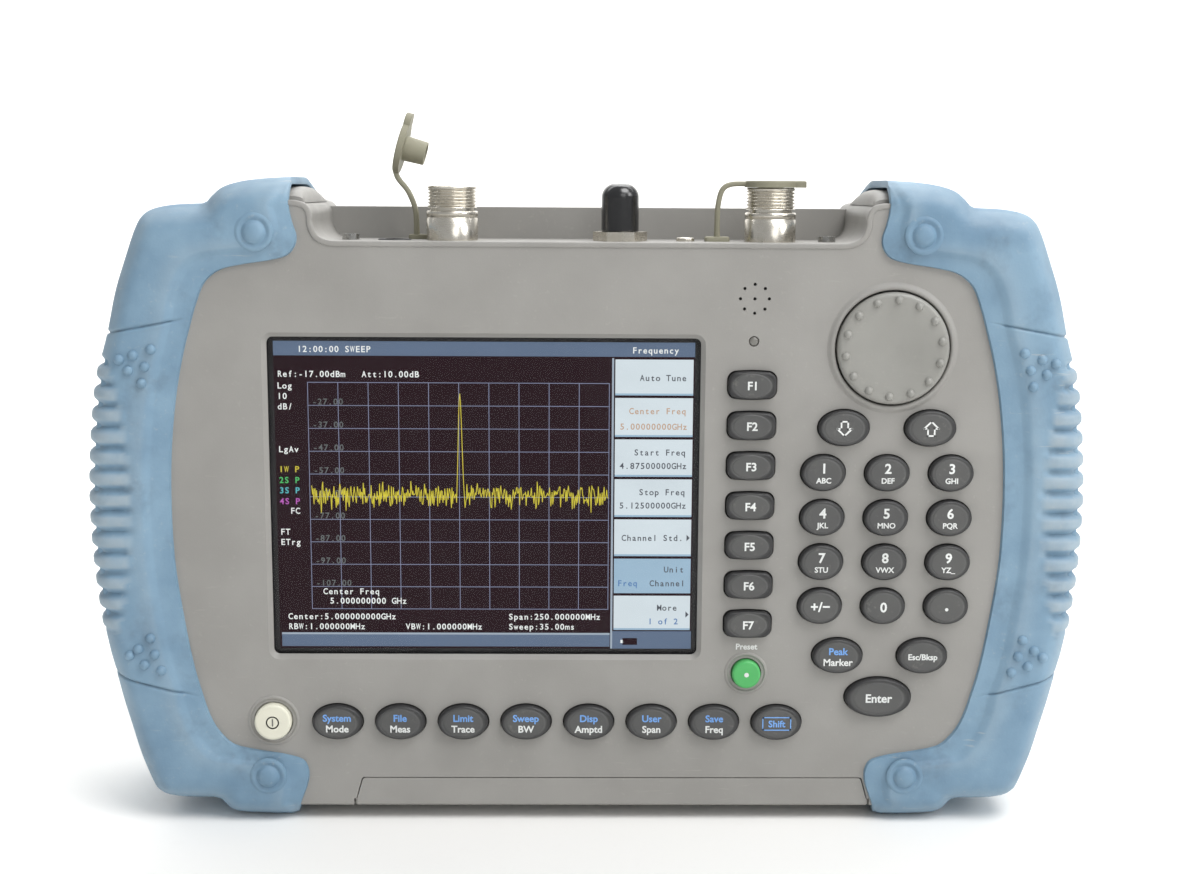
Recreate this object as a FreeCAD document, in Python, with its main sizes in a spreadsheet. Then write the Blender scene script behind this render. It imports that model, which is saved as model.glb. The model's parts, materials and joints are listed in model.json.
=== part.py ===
"""Handheld spectrum analyzer: a FreeCAD macro that builds every piece in one shared frame.

The case stands upright on its two rubber feet. The origin is at the bottom centre of the case,
+X runs to the right of the face, +Y from the face to the back and +Z up. Sizes are millimetres.
"""
import FreeCAD, Part
import math
import os
from dataclasses import dataclass

import Sketcher
from FreeCAD import Placement, Rotation, Vector

SIZES = {
    # case and its two rubber bumpers
    "case_width": 318, "case_height": 207, "case_depth": 69,
    "bumper_front": 4, "bumper_back": 3, "bumper_side": 11, "bumper_gap": 0.2, "bumper_round": 5,
    "bumper_overlap": 12, "side_bow": 3.97, "side_radius": 150, "shoulder_in": 18, "shoulder_round": 9,
    "foot_height": 4.5, "foot_in": 41, "ear_in": 43.5, "foot_slant": 4, "foot_step": 1, "ear_step": 3.5,
    "foot_round": 6, "foot_root_round": 3,
    # the edge of each bumper on the face
    "window_in": 67, "window_foot_up": 20.5, "window_foot_out": 2, "window_lean": 1, "window_corner_out": 26.8,
    "window_corner_up": 25.2, "window_side_out": 41.8, "window_side_up": 2, "window_head_down": 28.5,
    "window_ear_down": 23.5, "window_ear_out": 1.7, "window_round": 6, "window_corner_round": 9,
    "window_side_round": 120, "overshoot": 8,
    # the side of the case under the bumpers, each corner's distance in from the widest point
    "foot_corner_in": 34, "low_corner_in": 13, "low_corner_up": 16, "belly_out": 4.1, "high_corner_in": 12,
    "high_corner_down": 9, "neck_in": 22, "neck_up": 3, "shoulder_corner_in": 41, "foot_corner_round": 14,
    "side_corner_round": 20, "belly_round": 60, "neck_round": 10, "shoulder_corner_round": 6,
    "trench_lip_round": 4, "trench_foot_round": 6,
    # shells
    "wall": 2.5, "face_wall": 2, "front_shell_depth": 38.5, "edge_round": 1.2, "seam_gap": 0.3,
    "small_round": 1,
    "trench_drop": 20, "trench_half": 86.5, "trench_depth": 47, "shoulder_drop": 7.6, "ledge_drop": 9.6,
    # display
    "screen_x": -32.9, "screen_z": 106.4, "opening_width": 136, "opening_height": 102.4, "opening_round": 2,
    "opening_chamfer": 1.4, "window_lap": 1.8, "window_thickness": 1, "module_lap": 4, "module_depth": 7,
    # keys
    "key_proud": 2.4, "key_gap": 0.35, "key_flange": 0.8, "key_flange_thickness": 1.2,
    "key_flange_gap": 0.3, "key_travel": 0.8, "key_round": 0.9,
    "soft_x": 51.2, "soft_z": 143.2, "soft_pitch": 12.85, "soft_width": 15.1, "soft_tall": 9,
    "soft_bow": 0.5, "soft_bend": 40, "soft_round": 3,
    "digit_x": 74.2, "digit_drop": 14.4, "digit_step_x": 20.25, "digit_step_z": 14.43,
    "digit_width": 14, "digit_tall": 11.4,
    "menu_x": -80.6, "menu_z": 33.3, "menu_pitch": 20.25, "menu_width": 16.1, "menu_tall": 11.3,
    "pair_left_x": 80.3, "pair_right_x": 107.6, "arrow_drop": 7.6, "marker_z": 55.7,
    "enter_x": 93.8, "enter_z": 41.9, "enter_width": 21.3, "enter_tall": 12.8,
    "power_x": -101.3, "power_z": 33.4, "power_dia": 11.9,
    "preset_x": 51.05, "preset_z": 49.6, "preset_dia": 9.2,
    # tuning knob and what turns it
    "knob_x": 95, "knob_z": 155, "knob_dia": 35.2, "knob_proud": 2.5, "knob_gap": 1.6, "knob_lift": 0.5,
    "well_depth": 4, "well_floor": 1.5, "well_wall": 2, "grip_dots": 14, "grip_ring": 15.2, "grip_dot": 1.3,
    "shaft_radius": 3, "shaft_fit": 0.05, "bush_radius": 4.4, "encoder_side": 14, "encoder_depth": 6,
    # sound holes and light sensor
    "speaker_x": 51.5, "speaker_z": 170.2, "speaker_dia": 18, "speaker_depth": 4.5,
    "sound_ring": 4.5, "sound_hole": 0.5, "sensor_z": 156.9, "sensor_dia": 3.3,
    # boards and modules
    "mat_thickness": 1.2, "board_thickness": 1.6, "pad_left": -112, "pad_right": 124, "pad_low": 25,
    "strip_top": 43, "column_left": 41, "column_top": 150, "mat_top": 137, "mat_step": 63,
    "board_top": 172, "board_step": 66, "main_half": 122, "main_low": 30, "main_top_gap": 6, "stack_gap": 0.2,
    "board_gap": 1, "chip_height": 2,
    "rf_left": -53, "rf_right": 70, "rf_tall": 62, "rf_depth": 20, "tail_length": 4.5,
    # sockets along the top
    "socket_y": 27, "rf_in_x": 58.9, "rf_out_x": -44.5, "reference_x": 10, "dc_x": -63.2, "phone_x": 31.3,
    "barrel_radius": 8.3, "barrel_height": 9.4, "thread_radius": 7.94, "thread_height": 8, "socket_radius": 4.4,
    "contact_radius": 1.5, "nut_flats": 15.4, "nut_height": 3, "ref_radius": 4.8, "ref_height": 13,
    "dc_radius": 5.4, "dc_bore": 3.2, "dc_depth": 9.5, "dc_pin": 1, "phone_radius": 3, "phone_bore": 1.8,
    "phone_depth": 6, "socket_fit": 0.2,
    # dust caps
    "cap_radius": 8.4, "cap_thickness": 2.2, "cap_tab": 11.5, "cap_tab_half": 4, "plug_radius": 4.1,
    "plug_tip": 3.8, "plug_length": 7, "plug_bore": 3.2, "cap_rest": 0.05, "strap_thickness": 1.7,
    "strap_half": 1.7, "anchor_in_x": 41.6, "anchor_out_x": -55.5, "anchor_out_y": 36, "anchor_half": 4,
    "anchor_depth": 5, "anchor_height": 1.6, "loose_x": -60.5, "loose_lift": 29.5, "loose_tilt": 75,
    "vinyl_wall": 1.0, "vinyl_gap": 0.3, "vinyl_height": 15.2, "vinyl_hollow": 11.4,
    # battery and its cover
    "cover_left": -75.6, "cover_short": 0, "cover_slope": 2.8, "cover_lip": 9.5, "cover_rise": 68,
    "battery_depth": 22, "battery_tall": 61, "battery_gap": 0.5, "battery_round": 2,
    # tilt bail
    "bail_half": 74, "bail_length": 92, "bail_z": 128, "bail_bar": 7, "bail_thickness": 2.4, "bail_gap": 0.6,
    "bail_pin": 1.1, "bail_fit": 0.05, "bail_round": 8, "bail_inner_round": 4,
    "lug_width": 5, "lug_tall": 8, "lug_gap": 0.5,
    # screws
    "screw_radius": 1.5, "screw_head": 2.8, "screw_head_height": 1.8, "screw_length": 9, "screw_gap": 0.2,
    "screw_recess": 1.3, "back_screw_in": 59, "back_screw_low": 36, "back_screw_high": 45, "trench_screw_in": 9,
}

document = FreeCAD.newDocument("SpectrumAnalyzer")
sheet = document.addObject("Spreadsheet::Sheet", "Sizes")
for row, (alias, number) in enumerate(SIZES.items(), start=1):
    sheet.set(f"A{row}", alias)
    sheet.set(f"B{row}", str(number))
    sheet.setAlias(f"B{row}", alias)
document.recompute()


class Size:
    """A length with the sheet expression that gives it, so that features can be bound to it."""

    def __init__(self, text, value):
        self.text = text
        self.value = float(value)

    @staticmethod
    def of(thing):
        return thing if isinstance(thing, Size) else Size(repr(float(thing)), thing)

    def joined(self, sign, other, value):
        return Size(f"({self.text} {sign} {other.text})", value)

    def __add__(self, other):
        other = Size.of(other)
        return self.joined("+", other, self.value + other.value)

    def __sub__(self, other):
        other = Size.of(other)
        return self.joined("-", other, self.value - other.value)

    def __mul__(self, other):
        other = Size.of(other)
        return self.joined("*", other, self.value * other.value)

    def __truediv__(self, other):
        other = Size.of(other)
        return self.joined("/", other, self.value / other.value)

    def __radd__(self, other):
        return Size.of(other) + self

    def __rsub__(self, other):
        return Size.of(other) - self

    def __rmul__(self, other):
        return Size.of(other) * self

    def __neg__(self):
        return Size.of(0) - self


def cell(name):
    """The named size of the sheet."""
    return Size(f"Sizes.{name}", getattr(sheet, name))


# Planes and heights that many pieces share.
HALF_WIDTH = cell("case_width") / 2
HALF_DEPTH = cell("case_depth") / 2
TOP = cell("case_height")
MIDDLE = (cell("case_height") - cell("foot_height")) / 2
FACE = cell("bumper_front") - HALF_DEPTH
INNER_FACE = FACE + cell("face_wall")
BACK = HALF_DEPTH - cell("bumper_back")
PARTING = FACE + cell("front_shell_depth")
FLOOR = cell("foot_height")
TRENCH = TOP - cell("trench_drop")
SHOULDER = TOP - cell("shoulder_drop")
LEDGE = TOP - cell("ledge_drop")
SOCKET_Y = FACE + cell("socket_y")
KEY_FRONT = FACE - cell("key_proud")
FLANGE_FRONT = INNER_FACE + cell("key_flange_gap")
FLANGE_BACK = FLANGE_FRONT + cell("key_flange_thickness")
MAT_FRONT = FLANGE_BACK + cell("key_travel") + cell("stack_gap")
BOARD_FRONT = MAT_FRONT + cell("mat_thickness")
BOARD_BACK = BOARD_FRONT + cell("board_thickness")
WELL_FRONT = FACE + cell("well_depth")
WELL_BACK = WELL_FRONT + cell("well_floor")
WELL_RADIUS = cell("knob_dia") / 2 + cell("knob_gap")
ENCODER_BACK = BOARD_BACK + cell("encoder_depth")
MAIN_FRONT = ENCODER_BACK + cell("board_gap")
RF_FRONT = MAIN_FRONT + cell("board_thickness") + cell("stack_gap")
RF_TOP = TRENCH - cell("wall") - cell("tail_length")
THREAD_FOOT = TRENCH + cell("barrel_height")
CONNECTOR_TOP = THREAD_FOOT + cell("thread_height")
BAIL_FRONT = BACK + cell("bail_gap")
BAIL_AXIS_Y = BAIL_FRONT + cell("bail_thickness") / 2
WINDOW_EDGE = HALF_WIDTH - cell("window_in")
COVER_RIGHT = WINDOW_EDGE - cell("cover_short")
LOOSE_Y = FACE + cell("anchor_out_y")
# The arrow keys hang below the knob, and the digits below the arrow keys.
ARROW_Z = cell("knob_z") - cell("knob_dia") / 2 - cell("arrow_drop")
DIGIT_Z = ARROW_Z - cell("digit_drop")

# The chips on the back of the main board: across, up and side of each.
CHIPS = ((-92, 92, 22), (-58, 92, 14), (-30, 94, 18), (4, 92, 12), (92, 96, 24), (58, 92, 12))


# ---------------------------------------------------------------- building helpers

def new_body(name, across=0, deep=0, up=0):
    """A PartDesign body with its own label, placed by sizes."""
    body = document.addObject("PartDesign::Body", name)
    body.Label = name
    for axis, length in (("x", across), ("y", deep), ("z", up)):
        body.setExpression(f"Placement.Base.{axis}", Size.of(length).text)
    return body


def new_sketch(body, role, offset=0, shift=0):
    """A sketch on one of the body's origin planes, moved along the plane's normal by offset."""
    plane = [feature for feature in body.Origin.OriginFeatures if feature.Role == role][0]
    sketch = body.newObject("Sketcher::SketchObject", f"{body.Name}_sketch")
    sketch.AttachmentSupport = [(plane, "")]
    sketch.MapMode = "FlatFace"
    sketch.setExpression("AttachmentOffset.Base.x", Size.of(shift).text)
    sketch.setExpression("AttachmentOffset.Base.z", Size.of(offset).text)
    return sketch


def face_sketch(body, depth):
    """A sketch that faces the user, at the given Y. Its own axes are X and Z."""
    return new_sketch(body, "XZ_Plane", -Size.of(depth))


def floor_sketch(body, height):
    """A level sketch at the given Z."""
    return new_sketch(body, "XY_Plane", height)


waiting = {}
roundings = {}


def relate(sketch, kind, *where):
    """Notes a constraint without a size. It takes effect when the sketch is used."""
    waiting.setdefault(sketch.Name, []).append((Sketcher.Constraint(kind, *where), ""))


def constrain(sketch, kind, *where_and_size):
    """Notes a dimension that will be bound to the sheet when the sketch is used."""
    *where, size = where_and_size
    size = Size.of(size)
    waiting.setdefault(sketch.Name, []).append((Sketcher.Constraint(kind, *where, size.value), size.text))


def settle(sketch):
    """Adds the noted constraints of a sketch all at once and binds its dimensions."""
    notes = waiting.pop(sketch.Name)
    first = sketch.ConstraintCount
    sketch.addConstraint([constraint for constraint, _ in notes])
    for number, (_, text) in enumerate(notes, start=first):
        if "Sizes." in text:
            sketch.setExpression(f"Constraints[{number}]", text)


def place_point(sketch, geometry, point, across, up):
    """Holds a point of the sketch at the given place from its origin."""
    constrain(sketch, "DistanceX", -1, 1, geometry, point, across)
    constrain(sketch, "DistanceY", -1, 1, geometry, point, up)


def draw_outline(sketch, corners):
    """A closed outline. Each corner is (across, up, radius), and the solid's corner gets that radius."""
    sizes = [tuple(Size.of(part) for part in corner) for corner in corners]
    points = [Vector(across.value, up.value, 0) for across, up, _ in sizes]
    lines = []
    for index, point in enumerate(points):
        lines.append(sketch.addGeometry(Part.LineSegment(points[index - 1], point)))
    for index, (across, up, _) in enumerate(sizes):
        relate(sketch, "Coincident", lines[index], 2, lines[(index + 1) % len(lines)], 1)
        place_point(sketch, lines[index], 2, across, up)
    roundings.setdefault(sketch.Name, []).extend(corner for corner in sizes if corner[2].value > 0)


def draw_box(sketch, left, low, right, high, radius=0):
    """A rectangle with equal corners."""
    draw_outline(sketch, [(left, low, radius), (right, low, radius), (right, high, radius), (left, high, radius)])


def draw_circle(sketch, across, up, radius):
    """A circle held at its centre."""
    across, up, radius = Size.of(across), Size.of(up), Size.of(radius)
    circle = sketch.addGeometry(Part.Circle(Vector(across.value, up.value, 0), Vector(0, 0, 1), radius.value))
    constrain(sketch, "Radius", circle, radius)
    place_point(sketch, circle, 3, across, up)


def draw_ellipse(sketch, across, up, width, tall):
    """An ellipse with one axis level, whichever of the two is longer."""
    across, up, width, tall = (Size.of(part) for part in (across, up, width, tall))
    level = width.value >= tall.value
    long, short = (width, tall) if level else (tall, width)
    reach, rise = Vector(long.value / 2, 0, 0), Vector(0, short.value / 2, 0)
    if not level:
        reach, rise = Vector(0, reach.x, 0), Vector(-rise.y, 0, 0)
    centre = Vector(across.value, up.value, 0)
    ellipse = sketch.addGeometry(Part.Ellipse(centre + reach, centre + rise, centre))
    sketch.exposeInternalGeometry(ellipse)
    major, minor = ellipse + 1, ellipse + 2
    relate(sketch, "Horizontal" if level else "Vertical", major)
    constrain(sketch, "Distance", major, long)
    constrain(sketch, "Distance", minor, short)
    place_point(sketch, ellipse, 3, across, up)


def finish(body, feature):
    """Recomputes the new feature, makes it the body's tip and makes sure that it worked."""
    body.Tip = feature
    document.recompute()
    if "Invalid" in feature.State or not feature.Shape.isValid():
        raise RuntimeError(f"{feature.Name} failed: {feature.State}")
    return feature


def pad(body, sketch, length, against_normal=False):
    """Adds material from the sketch. Face sketches grow towards the back when against_normal is set."""
    settle(sketch)
    feature = body.newObject("PartDesign::Pad", f"{body.Name}_pad")
    feature.Profile = sketch
    feature.Reversed = against_normal
    feature.setExpression("Length", Size.of(length).text)
    finish(body, feature)
    return round_corners(body, sketch)


def pad_back(body, sketch, length):
    """Adds material from a face sketch towards the back."""
    return pad(body, sketch, length, against_normal=True)


def cut(body, sketch, length, along_normal=False):
    """Removes material behind the sketch and makes sure that something was removed."""
    settle(sketch)
    before = body.Tip.Shape.Volume
    feature = body.newObject("PartDesign::Pocket", f"{body.Name}_cut")
    feature.Profile = sketch
    feature.Reversed = along_normal
    feature.setExpression("Length", Size.of(length).text)
    finish(body, feature)
    if feature.Shape.Volume >= before:
        raise RuntimeError(f"{feature.Name} removes nothing")
    return round_corners(body, sketch)


def turn(body, sketch):
    """Turns a profile once round the sketch's upright axis."""
    settle(sketch)
    feature = body.newObject("PartDesign::Revolution", f"{body.Name}_turned")
    feature.Profile = sketch
    feature.ReferenceAxis = (sketch, ["V_Axis"])
    feature.Angle = 360
    finish(body, feature)
    return round_corners(body, sketch)


def meets_corner(edge, to_sketch, across, up):
    """Whether an edge runs through an outline's corner: straight behind it, or round the axis."""
    if isinstance(edge.Curve, Part.Circle):
        centre = to_sketch.multVec(edge.Curve.Center)
        return abs(centre.y - up) < 1e-3 and abs(edge.Curve.Radius - abs(across)) < 1e-3 and abs(centre.x) < 1e-3
    ends = [to_sketch.multVec(vertex.Point) for vertex in edge.Vertexes]
    return len(ends) == 2 and all(abs(end.x - across) < 1e-3 and abs(end.y - up) < 1e-3 for end in ends)


def round_corners(body, sketch):
    """Fillets the solid's corners that the sketch's outline gives a radius, one feature per radius."""
    to_sketch = sketch.Placement.inverse()
    radii = {}
    for across, up, radius in roundings.pop(sketch.Name, []):
        radii.setdefault(radius.text, (radius, []))[1].append((across.value, up.value))
    for radius, corners in radii.values():
        names = []
        for number, edge in enumerate(body.Tip.Shape.Edges, start=1):
            if any(meets_corner(edge, to_sketch, across, up) for across, up in corners):
                names.append(f"Edge{number}")
        if len(names) < len(corners):
            raise RuntimeError(f"{body.Name} has no edge at a corner of radius {radius.value}")
        dress_edges(body, "Fillet", names, radius)
    return body.Tip


def edges_on(shape, axis, place):
    """Names of the edges that lie in the plane where axis is at place."""
    low, high = f"{axis}Min", f"{axis}Max"
    names = []
    for number, edge in enumerate(shape.Edges, start=1):
        box = edge.BoundBox
        if abs(getattr(box, low) - place) < 1e-4 and abs(getattr(box, high) - place) < 1e-4:
            names.append(f"Edge{number}")
    return names


def dress_edges(body, kind, names, size):
    """Fillets or chamfers named edges of the body's tip."""
    base = body.Tip
    feature = body.newObject(f"PartDesign::{kind}", f"{body.Name}_{kind.lower()}")
    feature.Base = (base, names)
    feature.setExpression("Radius" if kind == "Fillet" else "Size", Size.of(size).text)
    return finish(body, feature)


def mirrored(corners):
    """The corners of a half outline and their mirror image across X = 0, as one closed outline."""
    return corners + [(-across, up, radius) for across, up, radius in reversed(corners)]


def group(name, members):
    """Several separate solids under one label."""
    compound = document.addObject("Part::Compound", name)
    compound.Label = name
    compound.Links = members
    document.recompute()
    return compound


# ---------------------------------------------------------------- case outlines

def housing_side(inset, notched=True):
    """The right half of the case seen from the front, moved inwards by inset, from the bottom up.

    The notch is the connector trench.
    """
    inset = Size.of(inset)
    side = HALF_WIDTH - cell("bumper_side") - inset
    low = FLOOR + inset
    shoulder = SHOULDER - inset
    trench = TRENCH - inset
    edge = cell("trench_half") + inset
    corner = cell("side_corner_round") - inset
    half = [
        (side - cell("foot_corner_in"), low, cell("foot_corner_round") - inset),
        (side - cell("low_corner_in"), low + cell("low_corner_up"), corner),
        (side + cell("belly_out"), MIDDLE + FLOOR, cell("belly_round") - inset),
        (side - cell("high_corner_in"), TRENCH - cell("high_corner_down"), corner),
        (side - cell("neck_in"), trench + cell("neck_up"), cell("neck_round") - inset),
        (side - cell("shoulder_corner_in"), shoulder, cell("shoulder_corner_round") - inset),
    ]
    if notched:
        half += [(edge, shoulder, cell("trench_lip_round") - inset / 2),
                 (edge, trench, cell("trench_foot_round") + inset)]
    return [tuple(Size.of(part) for part in corner) for corner in half]


def housing_outline(inset):
    """The whole case seen from the front, moved inwards by inset."""
    return mirrored(housing_side(inset))


def on_side(sign, corners):
    """Corners of a right-hand outline, or their mirror image when sign is -1."""
    return [(Size.of(across) * sign, up, radius) for across, up, radius in corners]


def bumper_outline(sign):
    """Outer silhouette of one bumper, from the foot round the side to the ear."""
    inner = WINDOW_EDGE - cell("bumper_overlap")
    side = HALF_WIDTH - cell("shoulder_in")
    foot, ear = HALF_WIDTH - cell("foot_in"), HALF_WIDTH - cell("ear_in")
    slant, tip, root, corner = (cell(name) for name in ("foot_slant", "foot_round", "foot_root_round",
                                                        "shoulder_round"))
    low = cell("foot_height") + cell("foot_step")
    high = TOP - low - cell("ear_step")
    return on_side(sign, [
        (inner, 0, 0), (foot, 0, tip), (foot + slant, low, root), (side, low, corner),
        (HALF_WIDTH + cell("side_bow"), (low + high) / 2, cell("side_radius")),
        (side, high, corner), (ear + slant, high, root), (ear, TOP, tip), (inner, TOP, 0),
    ])


def bumper_window(sign):
    """The edge of one bumper on the grey face: everything inside it stays uncovered."""
    inner = WINDOW_EDGE - cell("bumper_overlap") * 3
    corner = WINDOW_EDGE + cell("window_corner_out")
    lean = WINDOW_EDGE + cell("window_lean")
    bend, round_corner = cell("window_round"), cell("window_corner_round")
    below, above = -cell("overshoot"), TOP + cell("overshoot")
    return on_side(sign, [
        (inner, below, 0), (lean, below, 0),
        (WINDOW_EDGE - cell("window_foot_out"), cell("window_foot_up"), bend),
        (corner, cell("window_corner_up"), round_corner),
        (WINDOW_EDGE + cell("window_side_out"), MIDDLE + cell("window_side_up"), cell("window_side_round")),
        (corner, TOP - cell("window_head_down"), round_corner),
        (WINDOW_EDGE - cell("window_ear_out"), TOP - cell("window_ear_down"), bend),
        (lean, above, 0), (inner, above, 0),
    ])


# ---------------------------------------------------------------- keys

@dataclass(frozen=True)
class Key:
    """One key cap: where it sits on the face, its size and whether its outline is oval or oblong."""

    name: str
    across: Size
    up: Size
    width: Size
    tall: Size
    oblong: bool = False


def all_keys():
    """Every key of the face, worked out from the columns and rows of the layout."""
    keys = []
    for index in range(7):
        up = cell("soft_z") - cell("soft_pitch") * index
        keys.append(Key(f"soft_key_{index + 1}", cell("soft_x"), up, cell("soft_width"), cell("soft_tall"), True))
    digits = [["one", "two", "three"], ["four", "five", "six"], ["seven", "eight", "nine"],
              ["sign", "zero", "point"]]
    for row, names in enumerate(digits):
        for column, name in enumerate(names):
            across = cell("digit_x") + cell("digit_step_x") * column
            up = DIGIT_Z - cell("digit_step_z") * row
            keys.append(Key(f"digit_key_{name}", across, up, cell("digit_width"), cell("digit_tall")))
    menus = ["mode", "measure", "trace", "bandwidth", "amplitude", "span", "frequency", "shift"]
    for index, name in enumerate(menus):
        across = cell("menu_x") + cell("menu_pitch") * index
        keys.append(Key(f"menu_key_{name}", across, cell("menu_z"), cell("menu_width"), cell("menu_tall")))
    marker_z = cell("marker_z")
    pairs = [("arrow_key_down", "pair_left_x", ARROW_Z), ("arrow_key_up", "pair_right_x", ARROW_Z),
             ("marker_key", "pair_left_x", marker_z), ("escape_key", "pair_right_x", marker_z)]
    for name, across, up in pairs:
        keys.append(Key(name, cell(across), up, cell("menu_width"), cell("menu_tall")))
    keys.append(Key("enter_key", cell("enter_x"), cell("enter_z"), cell("enter_width"), cell("enter_tall")))
    keys.append(Key("power_key", cell("power_x"), cell("power_z"), cell("power_dia"), cell("power_dia")))
    keys.append(Key("preset_key", cell("preset_x"), cell("preset_z"), cell("preset_dia"), cell("preset_dia")))
    return keys


def draw_key(sketch, key, grow, centred=False):
    """The outline of a key, grown all round, at its place on the face or about the origin."""
    across, up = (Size.of(0), Size.of(0)) if centred else (key.across, key.up)
    half_width = key.width / 2 + grow
    half_tall = key.tall / 2 + grow
    if key.oblong:
        bow, bend, corner = cell("soft_bow"), cell("soft_bend"), cell("soft_round")
        draw_outline(sketch, [
            (across - half_width, up - half_tall + bow, corner), (across, up - half_tall, bend),
            (across + half_width, up - half_tall + bow, corner), (across + half_width, up + half_tall - bow, corner),
            (across, up + half_tall, bend), (across - half_width, up + half_tall - bow, corner),
        ])
    elif key.width.text == key.tall.text:
        draw_circle(sketch, across, up, half_width)
    else:
        draw_ellipse(sketch, across, up, half_width * 2, half_tall * 2)


def make_key(key):
    """A key cap with a flange behind the face that keeps it in its hole."""
    body = new_body(key.name, key.across, 0, key.up)
    cap = face_sketch(body, KEY_FRONT)
    draw_key(cap, key, 0, centred=True)
    pad_back(body, cap, FLANGE_BACK - KEY_FRONT)
    flange = face_sketch(body, FLANGE_FRONT)
    draw_key(flange, key, cell("key_flange"), centred=True)
    pad_back(body, flange, cell("key_flange_thickness"))
    dress_edges(body, "Fillet", edges_on(body.Tip.Shape, "Y", KEY_FRONT.value), cell("key_round"))
    return body


# ---------------------------------------------------------------- shells and bumpers

def cover_lip_outline(grow):
    """The battery cover's lip on the face, a low panel with sloping ends."""
    left = cell("cover_left") - grow
    right = COVER_RIGHT + grow
    high = FLOOR + cell("cover_lip") + grow
    corner = cell("small_round")
    return [(left, FLOOR - grow, 0), (right, FLOOR - grow, 0), (right - cell("cover_slope"), high, corner),
            (left + cell("cover_slope"), high, corner)]


def cut_battery_door(body, front, back):
    """Opens a shell's bottom wall between two depths for the battery cover."""
    opening = floor_sketch(body, FLOOR + cell("wall"))
    gap = cell("seam_gap")
    draw_box(opening, cell("cover_left") - gap, front, COVER_RIGHT + gap, back)
    cut(body, opening, cell("wall"))


def make_front_housing(keys):
    """The front shell: the face with its openings, and the floor of the connector trench."""
    body = new_body("front_housing")
    outline = face_sketch(body, FACE)
    draw_outline(outline, housing_outline(0))
    pad_back(body, outline, PARTING - FACE)
    dress_edges(body, "Fillet", edges_on(body.Tip.Shape, "Y", FACE.value), cell("edge_round"))
    cavity = face_sketch(body, INNER_FACE)
    draw_outline(cavity, housing_outline(cell("wall")))
    cut(body, cavity, PARTING - INNER_FACE)
    opening = face_sketch(body, FACE)
    half_width = cell("opening_width") / 2
    half_tall = cell("opening_height") / 2
    draw_box(opening, cell("screen_x") - half_width, cell("screen_z") - half_tall,
             cell("screen_x") + half_width, cell("screen_z") + half_tall, cell("opening_round"))
    before = len(edges_on(body.Tip.Shape, "Y", FACE.value))
    cut(body, opening, cell("face_wall"))
    rim = edges_on(body.Tip.Shape, "Y", FACE.value)
    sides = [name for name in rim if inside_opening(body.Tip.Shape, name)]
    if len(rim) - before != len(sides):
        raise RuntimeError("the display opening's rim isn't whole")
    dress_edges(body, "Chamfer", sides, cell("opening_chamfer"))
    make_knob_well(body)
    for oblong in (True, False):
        holes = face_sketch(body, FACE)
        for key in keys:
            if key.oblong == oblong:
                draw_key(holes, key, cell("key_gap"))
        cut(body, holes, cell("face_wall"))
    make_face_holes(body)
    make_socket_holes(body)
    lip = face_sketch(body, FACE)
    draw_outline(lip, cover_lip_outline(cell("seam_gap")))
    cut(body, lip, cell("face_wall"))
    cut_battery_door(body, FACE, PARTING)
    return body


def inside_opening(shape, name):
    """Whether the named edge lies on the display opening rather than on the case's outline."""
    box = shape.getElement(name).BoundBox
    reach = cell("opening_width").value / 2 + 1
    rise = cell("opening_height").value / 2 + 1
    near_x = abs(box.Center.x - cell("screen_x").value) < reach
    near_z = abs(box.Center.z - cell("screen_z").value) < rise
    return near_x and near_z


def make_knob_well(body):
    """A round well for the tuning knob with a hole for the encoder's bush."""
    boss = face_sketch(body, INNER_FACE)
    draw_circle(boss, cell("knob_x"), cell("knob_z"), WELL_RADIUS + cell("well_wall"))
    pad_back(body, boss, WELL_BACK - INNER_FACE)
    well = face_sketch(body, FACE)
    draw_circle(well, cell("knob_x"), cell("knob_z"), WELL_RADIUS)
    cut(body, well, cell("well_depth"))
    hole = face_sketch(body, WELL_FRONT)
    draw_circle(hole, cell("knob_x"), cell("knob_z"), cell("bush_radius") + cell("key_gap"))
    cut(body, hole, cell("well_floor"))


def make_face_holes(body):
    """The ring of sound holes with one in its middle, and the light sensor's seat."""
    holes = face_sketch(body, FACE)
    draw_circle(holes, cell("speaker_x"), cell("speaker_z"), cell("sound_hole"))
    for step in range(8):
        angle = math.radians(45 * step)
        across = cell("speaker_x") + cell("sound_ring") * round(math.cos(angle), 6)
        up = cell("speaker_z") + cell("sound_ring") * round(math.sin(angle), 6)
        draw_circle(holes, across, up, cell("sound_hole"))
    cut(body, holes, cell("face_wall"))
    seat = face_sketch(body, FACE)
    draw_circle(seat, cell("speaker_x"), cell("sensor_z"), cell("sensor_dia") / 2)
    cut(body, seat, cell("face_wall") / 2)


def make_socket_holes(body):
    """Holes through the trench floor for the sockets and two screws."""
    holes = floor_sketch(body, TRENCH)
    fit = cell("socket_fit")
    for across, radius in (("rf_in_x", cell("barrel_radius") - 2), ("rf_out_x", cell("barrel_radius") - 2),
                           ("reference_x", cell("ref_radius")), ("dc_x", cell("dc_radius")),
                           ("phone_x", cell("phone_radius"))):
        draw_circle(holes, cell(across), SOCKET_Y, radius + fit)
    for across in trench_screws():
        draw_circle(holes, across, SOCKET_Y, cell("screw_radius") + cell("screw_gap"))
    cut(body, holes, cell("wall"))


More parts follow.
